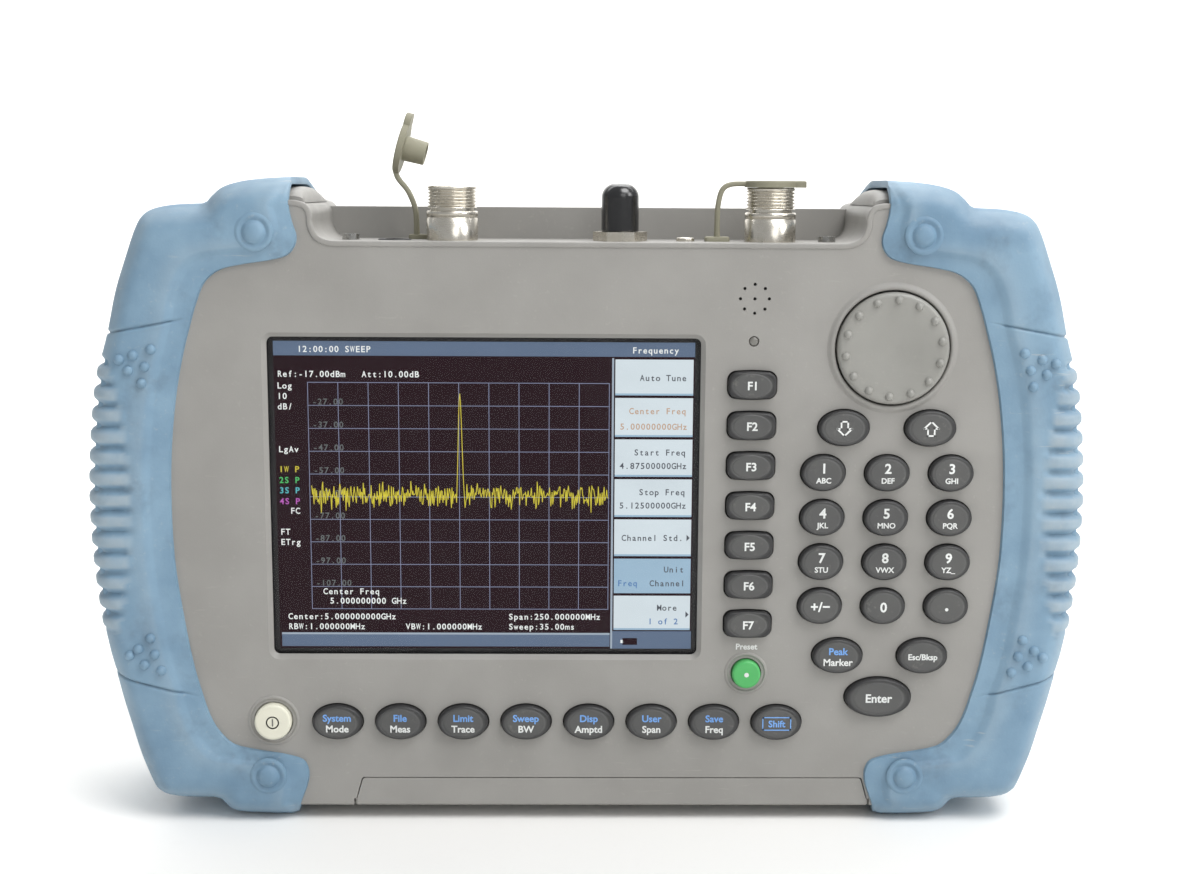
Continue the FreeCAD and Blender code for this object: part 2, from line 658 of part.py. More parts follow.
def make_rear_housing():
    """The rear shell: the back, the ledge behind the trench and the lugs of the tilt bail."""
    body = new_body("rear_housing")
    outline = face_sketch(body, PARTING)
    draw_outline(outline, housing_outline(0))
    pad_back(body, outline, BACK - PARTING)
    ledge = face_sketch(body, FACE + cell("trench_depth"))
    half = cell("trench_half")
    draw_box(ledge, -half - 1, TRENCH - 1, half + 1, LEDGE)
    pad_back(body, ledge, BACK - FACE - cell("trench_depth"))
    dress_edges(body, "Fillet", edges_on(body.Tip.Shape, "Y", BACK.value), cell("edge_round"))
    cavity = face_sketch(body, PARTING)
    draw_outline(cavity, housing_outline(cell("wall")))
    cut(body, cavity, BACK - PARTING - cell("wall"))
    hollow = face_sketch(body, FACE + cell("trench_depth") + cell("wall"))
    draw_box(hollow, -half + 1.5, TRENCH - cell("wall") - 1, half - 1.5, LEDGE - cell("wall"))
    cut(body, hollow, BACK - FACE - cell("trench_depth") - cell("wall") * 2)
    add_bail_lugs(body)
    holes = face_sketch(body, BACK - cell("wall"))
    for across, up in back_screws():
        draw_circle(holes, across, up, cell("screw_radius") + cell("screw_gap"))
    cut(body, holes, cell("wall"))
    cut_battery_door(body, PARTING, BACK)
    door = face_sketch(body, BACK - cell("wall"))
    gap = cell("seam_gap")
    draw_box(door, cell("cover_left") - gap, FLOOR - 1, COVER_RIGHT + gap, FLOOR + cell("cover_rise") + gap)
    cut(body, door, cell("wall"))
    return body


def add_bail_lugs(body):
    """Two lugs on the back, bored for the bail's pins."""
    lugs = face_sketch(body, BACK)
    near = cell("bail_half") + cell("lug_gap")
    far = near + cell("lug_width")
    low = cell("bail_z") - cell("lug_tall") / 2
    high = low + cell("lug_tall")
    draw_box(lugs, near, low, far, high, cell("small_round"))
    draw_box(lugs, -far, low, -near, high, cell("small_round"))
    pad_back(body, lugs, cell("bail_gap") + cell("bail_thickness"))
    bore = new_sketch(body, "YZ_Plane", -far - 1)
    draw_circle(bore, BAIL_AXIS_Y, cell("bail_z"), cell("bail_pin") + cell("bail_fit"))
    cut(body, bore, far * 2 + 2, along_normal=True)


def make_bumper(name, sign):
    """One rubber bumper: it wraps the case's side from the face to the back."""
    body = new_body(name)
    outline = face_sketch(body, -HALF_DEPTH)
    draw_outline(outline, bumper_outline(sign))
    pad_back(body, outline, cell("case_depth"))
    rims = []
    for depth in (-HALF_DEPTH.value, HALF_DEPTH.value):
        rims += edges_on(body.Tip.Shape, "Y", depth)
    inner = (WINDOW_EDGE - cell("bumper_overlap")).value + 1
    kept = [rim for rim in rims if abs(body.Tip.Shape.getElement(rim).BoundBox.Center.x) > inner]
    dress_edges(body, "Fillet", kept, cell("bumper_round"))
    seat = face_sketch(body, FACE - cell("bumper_gap"))
    gap = -cell("bumper_gap")
    inner = WINDOW_EDGE - cell("bumper_overlap") * 2
    side = housing_side(gap, notched=False)
    draw_outline(seat, on_side(sign, [(inner, FLOOR + gap, 0)] + side + [(inner, SHOULDER - gap, 0)]))
    cut(body, seat, BACK - FACE + cell("bumper_gap") * 2)
    window = face_sketch(body, -HALF_DEPTH - 1)
    draw_outline(window, bumper_window(sign))
    cut(body, window, cell("case_depth") + 2)
    return body


def make_battery_cover():
    """The battery cover: a lip on the face, the case's bottom and the lower back, in one piece."""
    body = new_body("battery_cover")
    lip = face_sketch(body, FACE)
    draw_outline(lip, cover_lip_outline(0))
    pad_back(body, lip, cell("face_wall"))
    base = floor_sketch(body, FLOOR)
    draw_box(base, cell("cover_left"), FACE, COVER_RIGHT, BACK)
    pad(body, base, cell("wall"))
    rise = face_sketch(body, BACK - cell("wall"))
    draw_box(rise, cell("cover_left"), FLOOR, COVER_RIGHT, FLOOR + cell("cover_rise"), cell("small_round"))
    pad_back(body, rise, cell("wall"))
    dress_edges(body, "Fillet", bottom_edges(body), cell("edge_round"))
    return body


def bottom_edges(body):
    """The two long bottom edges of the battery cover, at the face and at the back."""
    names = []
    for name in edges_on(body.Tip.Shape, "Z", FLOOR.value):
        box = body.Tip.Shape.getElement(name).BoundBox
        if box.XLength > 100:
            names.append(name)
    return names


# ---------------------------------------------------------------- display and boards

def make_plate(name, depth, thickness, corners):
    """A flat piece parallel to the face."""
    body = new_body(name)
    outline = face_sketch(body, depth)
    draw_outline(outline, corners)
    pad_back(body, outline, thickness)
    return body


def screen_corners(lap, radius):
    """A rectangle round the display opening."""
    half_width = cell("opening_width") / 2 + lap
    half_tall = cell("opening_height") / 2 + lap
    across, up = cell("screen_x"), cell("screen_z")
    return [(across - half_width, up - half_tall, radius), (across + half_width, up - half_tall, radius),
            (across + half_width, up + half_tall, radius), (across - half_width, up + half_tall, radius)]


def make_display_window():
    """The clear window behind the face's opening."""
    return make_plate("display_window", INNER_FACE, cell("window_thickness"), screen_corners(cell("window_lap"), 2))


def make_display_module():
    """The panel and its frame behind the window."""
    front = INNER_FACE + cell("window_thickness") + cell("stack_gap")
    return make_plate("display_module", front, cell("module_depth"), screen_corners(cell("module_lap"), 1))


def make_keypad_mat(keys):
    """The rubber mat under the keys, with a pad below each key and room for the knob's well."""
    low, left = cell("pad_low"), cell("pad_left")
    body = make_plate("keypad_mat", MAT_FRONT, cell("mat_thickness"), [
        (left, low, 3), (cell("pad_right"), low, 3), (cell("pad_right"), cell("mat_top"), 3),
        (cell("mat_step"), cell("mat_top"), 1), (cell("mat_step"), cell("column_top"), 3),
        (cell("column_left"), cell("column_top"), 3), (cell("column_left"), cell("strip_top"), 1),
        (left, cell("strip_top"), 3)])
    well = face_sketch(body, MAT_FRONT)
    draw_circle(well, cell("knob_x"), cell("knob_z"), WELL_RADIUS + cell("well_wall") + 0.6)
    cut(body, well, cell("mat_thickness"))
    pits = face_sketch(body, MAT_FRONT)
    for key in keys:
        draw_circle(pits, key.across, key.up, 2.5)
    cut(body, pits, cell("mat_thickness") / 2)
    return body


def make_keypad_board():
    """The board under the mat. It carries the encoder too."""
    low, left = cell("pad_low"), cell("pad_left")
    body = make_plate("keypad_board", BOARD_FRONT, cell("board_thickness"), [
        (left, low, 1), (cell("pad_right"), low, 1), (cell("pad_right"), cell("board_top"), 1),
        (cell("board_step"), cell("board_top"), 1), (cell("board_step"), cell("column_top"), 1),
        (cell("column_left"), cell("column_top"), 1), (cell("column_left"), cell("strip_top"), 1),
        (left, cell("strip_top"), 1)])
    hole = face_sketch(body, BOARD_FRONT)
    draw_circle(hole, cell("knob_x"), cell("knob_z"), cell("bush_radius") + cell("key_gap"))
    cut(body, hole, cell("board_thickness"))
    return body


def make_main_board():
    """The main board behind the display, with its larger chips on the back."""
    half, low = cell("main_half"), cell("main_low")
    high = RF_TOP - cell("main_top_gap")
    body = make_plate("main_board", MAIN_FRONT, cell("board_thickness"),
                      [(-half, low, 2), (half, low, 2), (half, high, 2), (-half, high, 2)])
    chips = face_sketch(body, MAIN_FRONT + cell("board_thickness"))
    for across, up, size in CHIPS:
        draw_box(chips, across - size / 2, up - size / 2, across + size / 2, up + size / 2)
    pad_back(body, chips, cell("chip_height"))
    return body


def make_rf_module():
    """The shielded radio-frequency module under the connectors."""
    low = RF_TOP - cell("rf_tall")
    body = make_plate("rf_module", RF_FRONT, cell("rf_depth"),
                      [(cell("rf_left"), low, 2), (cell("rf_right"), low, 2), (cell("rf_right"), RF_TOP, 2),
                       (cell("rf_left"), RF_TOP, 2)])
    dress_edges(body, "Fillet", edges_on(body.Tip.Shape, "Y", (RF_FRONT + cell("rf_depth")).value), 1)
    return body


def make_speaker():
    """A small round loudspeaker behind the sound holes."""
    body = new_body("speaker", cell("speaker_x"), 0, cell("speaker_z"))
    ring = face_sketch(body, INNER_FACE)
    draw_circle(ring, 0, 0, cell("speaker_dia") / 2)
    pad_back(body, ring, cell("speaker_depth") / 2)
    magnet = face_sketch(body, INNER_FACE + cell("speaker_depth") / 2)
    draw_circle(magnet, 0, 0, cell("speaker_dia") / 3)
    pad_back(body, magnet, cell("speaker_depth") / 2)
    return body


def make_battery_pack():
    """The rechargeable pack in the lower back."""
    gap = cell("battery_gap")
    low = FLOOR + cell("wall") + gap
    back = BACK - cell("wall") - gap
    left, right = cell("cover_left") + 6, COVER_RIGHT - 6
    high = low + cell("battery_tall")
    body = make_plate("battery_pack", back - cell("battery_depth"), cell("battery_depth"),
                      [(left, low, 3), (right, low, 3), (right, high, 3), (left, high, 3)])
    for depth in (back, back - cell("battery_depth")):
        dress_edges(body, "Fillet", edges_on(body.Tip.Shape, "Y", depth.value), cell("battery_round"))
    return body


# ---------------------------------------------------------------- knob and encoder

def turned_about_y(body, corners):
    """Turns a profile about the body's Y axis. Corners are (radius, depth, rounding)."""
    profile = new_sketch(body, "XY_Plane")
    draw_outline(profile, corners)
    return turn(body, profile)


def make_tuning_knob():
    """The tuning knob, slightly dished, with a ring of raised dots and its steel shaft."""
    body = new_body("tuning_knob", cell("knob_x"), 0, cell("knob_z"))
    radius = cell("knob_dia") / 2
    front = FACE - cell("knob_proud")
    rear = WELL_FRONT - cell("knob_lift")
    shaft_end = ENCODER_BACK - 1.5
    turned_about_y(body, [
        (0, front + 0.6, 0), (radius, front, 1.8), (radius, rear, 0.6), (cell("shaft_radius"), rear, 0),
        (cell("shaft_radius"), shaft_end, 0), (0, shaft_end, 0)])
    dot = new_sketch(body, "XY_Plane", shift=cell("grip_ring"))
    crown = front - 0.4
    edge = cell("grip_dot")
    draw_outline(dot, [(0, crown, 0), (edge * 0.45, crown + 0.08, 0), (edge * 0.8, crown + 0.3, 0),
                       (edge, crown + 0.7, 0), (edge, front + 1, 0), (0, front + 1, 0)])
    turn_dot = turn(body, dot)
    ring = body.newObject("PartDesign::PolarPattern", "tuning_knob_dots")
    ring.Originals = [turn_dot]
    ring.Axis = ([item for item in body.Origin.OriginFeatures if item.Role == "Y_Axis"][0], [""])
    ring.Angle = 360
    ring.setExpression("Occurrences", "Sizes.grip_dots")
    finish(body, ring)
    return body


def make_encoder():
    """The rotary encoder: a square body behind the board with a bush that carries the shaft."""
    body = new_body("encoder", cell("knob_x"), 0, cell("knob_z"))
    block = face_sketch(body, BOARD_BACK)
    half = cell("encoder_side") / 2
    draw_box(block, -half, -half, half, half, 1)
    pad_back(body, block, cell("encoder_depth"))
    bush = face_sketch(body, WELL_FRONT + cell("stack_gap"))
    draw_circle(bush, 0, 0, cell("bush_radius"))
    pad_back(body, bush, BOARD_BACK - WELL_FRONT)
    bore = face_sketch(body, WELL_FRONT)
    draw_circle(bore, 0, 0, cell("shaft_radius") + cell("shaft_fit"))
    cut(body, bore, ENCODER_BACK - 1 - WELL_FRONT)
    return body


# ---------------------------------------------------------------- sockets

def turned_about_z(name, across, corners):
    """A body turned about its own upright axis on the line of the sockets."""
    body = new_body(name, cell(across), SOCKET_Y, 0)
    profile = new_sketch(body, "XZ_Plane")
    draw_outline(profile, corners)
    turn(body, profile)
    return body


def make_rf_connector(name, across):
    """A round threaded coaxial connector with a socket and a centre contact."""
    barrel, thread = cell("barrel_radius"), cell("thread_radius")
    bore_floor = CONNECTOR_TOP - cell("plug_length") - 2
    contact = cell("contact_radius")
    return turned_about_z(name, across, [
        (0, RF_TOP, 0), (2.2, RF_TOP, 0), (2.2, TRENCH - cell("wall") - 2, 0),
        (barrel - 2, TRENCH - cell("wall") - 2, 0), (barrel - 2, TRENCH, 0), (barrel, TRENCH, 0),
        (barrel, THREAD_FOOT, 0.3), (thread - 0.9, THREAD_FOOT, 0), (thread - 0.9, THREAD_FOOT + 1, 0),
        (thread, THREAD_FOOT + 1, 0), (thread, CONNECTOR_TOP, 0.4), (cell("socket_radius"), CONNECTOR_TOP, 0.3),
        (cell("socket_radius"), bore_floor, 0), (contact, bore_floor, 0), (contact, CONNECTOR_TOP - 3, 0.5),
        (0, CONNECTOR_TOP - 3, 0)])


def make_reference_connector():
    """The small reference connector with its hexagonal nut."""
    radius = cell("ref_radius")
    body = turned_about_z("reference_connector", "reference_x", [
        (0, RF_TOP, 0), (1.5, RF_TOP, 0), (1.5, TRENCH - cell("wall") - 1, 0), (radius, TRENCH - cell("wall") - 1, 0),
        (radius, TRENCH + cell("ref_height"), 0.5), (3.3, TRENCH + cell("ref_height"), 0),
        (3.3, TRENCH + cell("nut_height") + 1, 0), (0.7, TRENCH + cell("nut_height") + 1, 0),
        (0.7, TRENCH + cell("ref_height") - 2, 0), (0, TRENCH + cell("ref_height") - 2, 0)])
    nut = floor_sketch(body, TRENCH)
    reach = cell("nut_flats") / math.sqrt(3)
    corners = []
    for step in range(6):
        angle = math.radians(60 * step)
        corners.append((reach * round(math.cos(angle), 6), reach * round(math.sin(angle), 6), 0.4))
    draw_outline(nut, corners)
    draw_circle(nut, 0, 0, radius - 0.5)
    pad(body, nut, cell("nut_height"))
    return body


def make_dc_jack():
    """The direct-current inlet: a bore with a centre pin."""
    radius, bore, pin = cell("dc_radius"), cell("dc_bore"), cell("dc_pin")
    bottom = TRENCH - cell("dc_depth")
    return turned_about_z("dc_jack", "dc_x", [
        (0, bottom - 1.5, 0), (radius, bottom - 1.5, 0.4), (radius, TRENCH + 0.3, 0.3), (bore, TRENCH + 0.3, 0),
        (bore, bottom, 0), (pin, bottom, 0), (pin, TRENCH - 1.5, 0.4), (0, TRENCH - 1.5, 0)])


def make_headphone_jack():
    """The bright ring and barrel of the headphone jack."""
    radius, bore = cell("phone_radius"), cell("phone_bore")
    bottom = TRENCH - cell("phone_depth")
    return turned_about_z("headphone_jack", "phone_x", [
        (0, bottom, 0), (radius, bottom, 0.3), (radius, TRENCH + 1.2, 0.5), (bore, TRENCH + 1.2, 0.2),
        (bore, bottom + 1, 0), (0, bottom + 1, 0)])


# ---------------------------------------------------------------- caps and straps

def make_dust_cap(name, across, deep, up, tilt=0):
    """A moulded dust cap: a round plate with a pull tab and a hollow plug. Its plate stands on Z = 0."""
    body = new_body(name, across, deep, up)
    body.setExpression("Placement.Rotation.Axis.y", "1")
    body.setExpression("Placement.Rotation.Axis.z", "0")
    body.setExpression("Placement.Rotation.Angle", (-Size.of(tilt)).text)
    plate = floor_sketch(body, 0)
    draw_circle(plate, 0, 0, cell("cap_radius"))
    pad(body, plate, cell("cap_thickness"))
    tab = floor_sketch(body, 0)
    half = cell("cap_tab_half")
    draw_outline(tab, [(0, -half, 0), (cell("cap_tab"), -half, half - 0.6), (cell("cap_tab"), half, half - 0.6),
                       (0, half, 0)])
    pad(body, tab, cell("cap_thickness"))
    plug = new_sketch(body, "XZ_Plane")
    length = -cell("plug_length")
    draw_outline(plug, [(cell("plug_bore"), 0.5, 0), (cell("plug_bore"), length, 0), (cell("plug_tip"), length, 0.2),
                        (cell("plug_radius"), 0, 0), (cell("plug_radius"), 0.5, 0)])
    turn(body, plug)
    dress_edges(body, "Fillet", edges_on(body.Tip.Shape, "Z", cell("cap_thickness").value), 0.6)
    return body


def make_strap(name, corners, across, deep):
    """One moulded strap standing on its anchor block."""
    body = new_body(name)
    foot = floor_sketch(body, TRENCH)
    half, reach = cell("anchor_half"), cell("anchor_depth") / 2
    draw_box(foot, across - half, deep - reach, across + half, deep + reach, 1)
    pad(body, foot, cell("anchor_height"))
    band = face_sketch(body, deep - cell("strap_half"))
    draw_outline(band, corners)
    pad_back(body, band, cell("strap_half") * 2)
    return body


def make_cap_straps():
    """The straps of both dust caps. One bends over to its fitted cap, the other holds its cap up."""
    thick = cell("strap_thickness")
    foot = TRENCH + cell("anchor_height") - 0.4
    crown = CONNECTOR_TOP + cell("cap_rest") + cell("cap_thickness") - 0.2
    end = cell("rf_in_x") - cell("cap_radius") - 0.1
    left = cell("anchor_in_x") - thick / 2
    fitted = make_strap("strap_in", [
        (left, foot, 0), (left + thick, foot, 0), (left + thick + 1.2, crown - thick, 6),
        (end, crown - thick, 0), (end, crown, 0), (left + 1.2, crown, 6 + thick)],
        cell("anchor_in_x"), SOCKET_Y)
    root = cell("anchor_out_x") - 1.5
    knee = TRENCH + 10
    head_x, head_z = cell("loose_x") - 3.3, TRENCH + cell("loose_lift") - 8.2
    free = make_strap("strap_out", [
        (root - thick / 2, foot, 0), (root + thick / 2, foot, 0), (root + thick / 2, knee, 14),
        (head_x + thick / 2, head_z, 0), (head_x - thick / 2, head_z, 0), (root - thick / 2, knee, 14)],
        cell("anchor_out_x"), LOOSE_Y)
    return group("connector_cap_straps", [fitted, free])


def make_reference_cap():
    """The push-on vinyl cap of the reference connector, closed at its domed top."""
    inner = cell("ref_radius") + cell("vinyl_gap")
    outer = inner + cell("vinyl_wall")
    foot = TRENCH + cell("nut_height") + cell("cap_rest")
    return turned_about_z("reference_cap", "reference_x", [
        (inner, foot, 0.2), (outer, foot, 0.3), (outer, foot + cell("vinyl_height"), 4.6),
        (0, foot + cell("vinyl_height") + 0.4, 0), (0, foot + cell("vinyl_hollow"), 0),
        (inner, foot + cell("vinyl_hollow"), 2)])


# ---------------------------------------------------------------- bail and screws

def make_tilt_bail():
    """The tilt bail: a flat U frame folded against the back, with a pin at each end.

    Its legs end just above the pins, so that nothing meets the back when it swings out.
    """
    body = new_body("tilt_bail")
    half, bar, corner = cell("bail_half"), cell("bail_bar"), cell("small_round")
    outer, inner = cell("bail_round"), cell("bail_inner_round")
    high = cell("bail_z") + cell("bail_thickness") / 2
    low = high - cell("bail_length")
    frame = face_sketch(body, BAIL_FRONT)
    draw_outline(frame, [
        (-half, low, outer), (half, low, outer), (half, high, corner), (half - bar, high, corner),
        (half - bar, low + bar, inner), (bar - half, low + bar, inner), (bar - half, high, corner),
        (-half, high, corner)])
    pad_back(body, frame, cell("bail_thickness"))
    reach = half + cell("lug_gap") + cell("lug_width") - 0.5
    for sign in (-1, 1):
        pin = new_sketch(body, "YZ_Plane", (half - 1) * sign)
        draw_circle(pin, BAIL_AXIS_Y, cell("bail_z"), cell("bail_pin"))
        pad(body, pin, reach - half + 1, against_normal=sign < 0)
    return body


def trench_screws():
    """The two screws in the floor of the connector trench."""
    reach = cell("trench_half") - cell("trench_screw_in")
    return [-reach, reach]


def back_screws():
    """The six screws that close the case from the back, clear of the bumpers and the bail."""
    side = HALF_WIDTH - cell("back_screw_in")
    heights = (FLOOR + cell("back_screw_low"), MIDDLE, TOP - cell("back_screw_high"))
    return [(sign * side, up) for sign in (-1, 1) for up in heights]


def make_screw(name, across, deep, up, pitch):
    """A pan-head screw with a hexagonal recess. Its head stands on the placement point."""
    shank = document.addObject("Part::Cylinder", f"{name}_shank")
    shank.setExpression("Radius", cell("screw_radius").text)
    shank.setExpression("Height", cell("screw_length").text)
    shank.setExpression("Placement.Base.z", (-cell("screw_length")).text)
    head = document.addObject("Part::Cylinder", f"{name}_head")
    head.setExpression("Radius", cell("screw_head").text)
    head.setExpression("Height", cell("screw_head_height").text)
    recess = document.addObject("Part::Prism", f"{name}_recess")
    recess.Polygon = 6
    recess.setExpression("Circumradius", cell("screw_recess").text)
    recess.setExpression("Height", cell("screw_head_height").text)
    recess.setExpression("Placement.Base.z", (cell("screw_head_height") / 2).text)
    solid = document.addObject("Part::Fuse", f"{name}_solid")
    solid.Base = head
    solid.Tool = shank
    screw = document.addObject("Part::Cut", name)
    screw.Base = solid
    screw.Tool = recess
    screw.Placement = Placement(Vector(), Rotation(Vector(1, 0, 0), pitch))
    for axis, length in (("x", across), ("y", deep), ("z", up)):
        screw.setExpression(f"Placement.Base.{axis}", Size.of(length).text)
    return screw


def make_housing_screws():
    """Every case screw: six in the back and two in the trench."""
    seat = cell("cap_rest")
    screws = []
    for index, (across, up) in enumerate(back_screws(), start=1):
        screws.append(make_screw(f"back_screw_{index}", across, BACK + seat, up, -90))
    for index, across in enumerate(trench_screws(), start=1):
        screws.append(make_screw(f"trench_screw_{index}", across, SOCKET_Y, TRENCH + seat, 0))
    return group("housing_screws", screws)


# ---------------------------------------------------------------- the whole instrument

def build():
    """Builds every sub-part and returns them in a list."""
    keys = all_keys()
    loose_z = TRENCH + cell("loose_lift")
    return [
        make_front_housing(keys), make_rear_housing(), make_bumper("left_bumper", -1), make_bumper("right_bumper", 1),
        make_battery_cover(), make_battery_pack(), make_display_window(), make_display_module(),
        make_keypad_mat(keys), make_keypad_board(), make_main_board(), make_rf_module(), make_speaker(),
        make_tuning_knob(), make_encoder(),
        make_rf_connector("rf_input_connector", "rf_in_x"), make_rf_connector("rf_output_connector", "rf_out_x"),
        make_reference_connector(), make_dc_jack(), make_headphone_jack(),
        make_dust_cap("rf_input_cap", cell("rf_in_x"), SOCKET_Y, CONNECTOR_TOP + cell("cap_rest")),
        make_dust_cap("rf_output_cap", cell("loose_x"), LOOSE_Y, loose_z, cell("loose_tilt")),
        make_cap_straps(), make_reference_cap(), make_tilt_bail(), make_housing_screws(),
    ] + [make_key(key) for key in keys]


def check_document():
    """Stops when any object of the document failed."""
    for item in document.Objects:
        if "Invalid" in item.State or "Error" in item.State:
            raise RuntimeError(f"{item.Name} failed: {item.State}")


def export(parts):
    """Writes one STEP file for each sub-part."""
    os.makedirs("parts", exist_ok=True)
    for part in parts:
        part.Shape.exportStep(f"parts/{part.Label}.step")


sub_parts = build()
document.recompute()
check_document()
for sub_part in sub_parts:
    if sub_part.Shape.isNull() or not sub_part.Shape.isValid():
        raise RuntimeError(f"{sub_part.Label} has no valid shape")
export(sub_parts)
print(len(sub_parts), "sub-parts written")
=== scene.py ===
"""Looks of a handheld spectrum analyzer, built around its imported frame.

Every length in a class is in millimetres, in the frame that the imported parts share: +X to the right
of the face, +Y from the face to the back, +Z up, with the origin at the bottom centre of the case.
"""

import json
import logging
import math
import random
from collections.abc import Callable, Iterable, Sequence
from dataclasses import dataclass
from enum import Enum

import bmesh
import bpy
import numpy as np
from mathutils import Matrix, Vector
from mathutils.bvhtree import BVHTree


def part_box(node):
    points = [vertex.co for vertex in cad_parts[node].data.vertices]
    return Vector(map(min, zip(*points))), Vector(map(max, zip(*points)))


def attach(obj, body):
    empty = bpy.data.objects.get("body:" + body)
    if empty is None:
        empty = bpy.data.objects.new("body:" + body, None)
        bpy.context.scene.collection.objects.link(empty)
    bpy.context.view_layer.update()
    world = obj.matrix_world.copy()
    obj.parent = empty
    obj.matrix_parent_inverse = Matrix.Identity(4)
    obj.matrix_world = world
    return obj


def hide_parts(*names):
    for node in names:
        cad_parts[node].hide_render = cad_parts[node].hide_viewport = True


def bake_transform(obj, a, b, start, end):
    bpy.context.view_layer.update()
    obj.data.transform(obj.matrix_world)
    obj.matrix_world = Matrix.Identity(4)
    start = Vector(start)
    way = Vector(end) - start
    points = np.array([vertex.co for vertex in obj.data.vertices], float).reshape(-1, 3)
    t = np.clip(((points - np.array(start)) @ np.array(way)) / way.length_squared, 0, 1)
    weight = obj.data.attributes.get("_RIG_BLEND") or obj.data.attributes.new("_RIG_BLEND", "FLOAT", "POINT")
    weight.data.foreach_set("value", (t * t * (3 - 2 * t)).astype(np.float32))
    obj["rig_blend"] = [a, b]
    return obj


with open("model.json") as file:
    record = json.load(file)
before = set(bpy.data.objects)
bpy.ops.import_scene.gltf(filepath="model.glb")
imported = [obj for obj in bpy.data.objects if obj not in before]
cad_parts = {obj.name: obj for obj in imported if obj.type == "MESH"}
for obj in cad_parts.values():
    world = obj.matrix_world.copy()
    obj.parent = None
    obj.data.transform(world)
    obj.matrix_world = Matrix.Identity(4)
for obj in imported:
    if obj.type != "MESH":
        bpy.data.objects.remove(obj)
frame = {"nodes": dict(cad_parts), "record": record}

log = logging.getLogger("analyzer")
MM = 0.001
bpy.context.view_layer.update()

Colour = tuple[float, float, float]
Point = tuple[float, float]
Triple = tuple[float, float, float]
EVEN = (1.0, 1.0, 1.0)


def tint(red: int, green: int, blue: int) -> Colour:
    """A colour in linear light from the usual 0 to 255 figures.

    Args:
        red: Share of red, 0 to 255.
        green: Share of green, 0 to 255.
        blue: Share of blue, 0 to 255.

    Returns:
        The three shares in linear light.
    """
    shares = (share / 255 for share in (red, green, blue))
    return tuple(s / 12.92 if s <= 0.04045 else ((s + 0.055) / 1.055) ** 2.4 for s in shares)


def box_mm(node: str) -> tuple[Vector, Vector]:
    """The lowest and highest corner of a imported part, in millimetres."""
    low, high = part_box(node)
    return low / MM, high / MM


def ease(value: float, start: float, end: float) -> float:
    """A smooth step from 0 at start to 1 at end.

    Args:
        value: Where on the step.
        start: Where the step begins.
        end: Where the step is complete.

    Returns:
        A number from 0 to 1.
    """
    share = min(1.0, max(0.0, (value - start) / (end - start)))
    return share * share * (3 - 2 * share)


def through(points: Sequence[Sequence[float]], place: float) -> list[float]:
    """A smooth curve through points of any dimension.

    Args:
        points: The points that the curve passes through.
        place: Where on it: 0 at the first point, 1 at the second and so on.

    Returns:
        The coordinates at that place.
    """
    index = min(int(place), len(points) - 2)
    t = place - index
    before, start = points[max(index - 1, 0)], points[index]
    end, after = points[index + 1], points[min(index + 2, len(points) - 1)]
    return [0.5 * (2 * b + (c - a) * t + (2 * a - 5 * b + 4 * c - d) * t * t + (3 * b - a - 3 * c + d) * t ** 3)
            for a, b, c, d in zip(before, start, end, after)]


# ---------------------------------------------------------------- shaders

class Signal:
    """A number on a shader socket. Arithmetic on it adds Math nodes."""

    def __init__(self, shader: "Shader", socket: bpy.types.NodeSocket) -> None:
        """Keeps the socket and the shader that it belongs to."""
        self.shader = shader
        self.socket = socket

    def math(self, operation: str, *values: object, clamp: bool = False) -> "Signal":
        """Adds one Math node.

        Args:
            operation: The node's operation.
            values: Its inputs, signals or plain numbers.
            clamp: Whether the result is held between 0 and 1.

        Returns:
            The result.
        """
        settings = {"operation": operation, "use_clamp": clamp}
        node = self.shader.add("ShaderNodeMath", settings, dict(enumerate(values)))
        return Signal(self.shader, node.outputs[0])

    def __add__(self, other: object) -> "Signal":
        """Self plus other."""
        return self.math("ADD", self, other)

    def __radd__(self, other: object) -> "Signal":
        """Other plus self."""
        return self.math("ADD", other, self)

    def __sub__(self, other: object) -> "Signal":
        """Self minus other."""
        return self.math("SUBTRACT", self, other)

    def __rsub__(self, other: object) -> "Signal":
        """Other minus self."""
        return self.math("SUBTRACT", other, self)

    def __mul__(self, other: object) -> "Signal":
        """Self times other."""
        return self.math("MULTIPLY", self, other)

    def __rmul__(self, other: object) -> "Signal":
        """Other times self."""
        return self.math("MULTIPLY", other, self)

    def held(self) -> "Signal":
        """The signal held between 0 and 1."""
        return self.math("ADD", self, 0.0, clamp=True)

    def step(self, start: float, end: float) -> "Signal":
        """Rises from 0 at start to 1 at end.

        Args:
            start: The signal's value where the step begins.
            end: The signal's value where the step is complete. It may be below start.

        Returns:
            The step, between 0 and 1.
        """
        return ((self - start) * (1 / (end - start))).held()


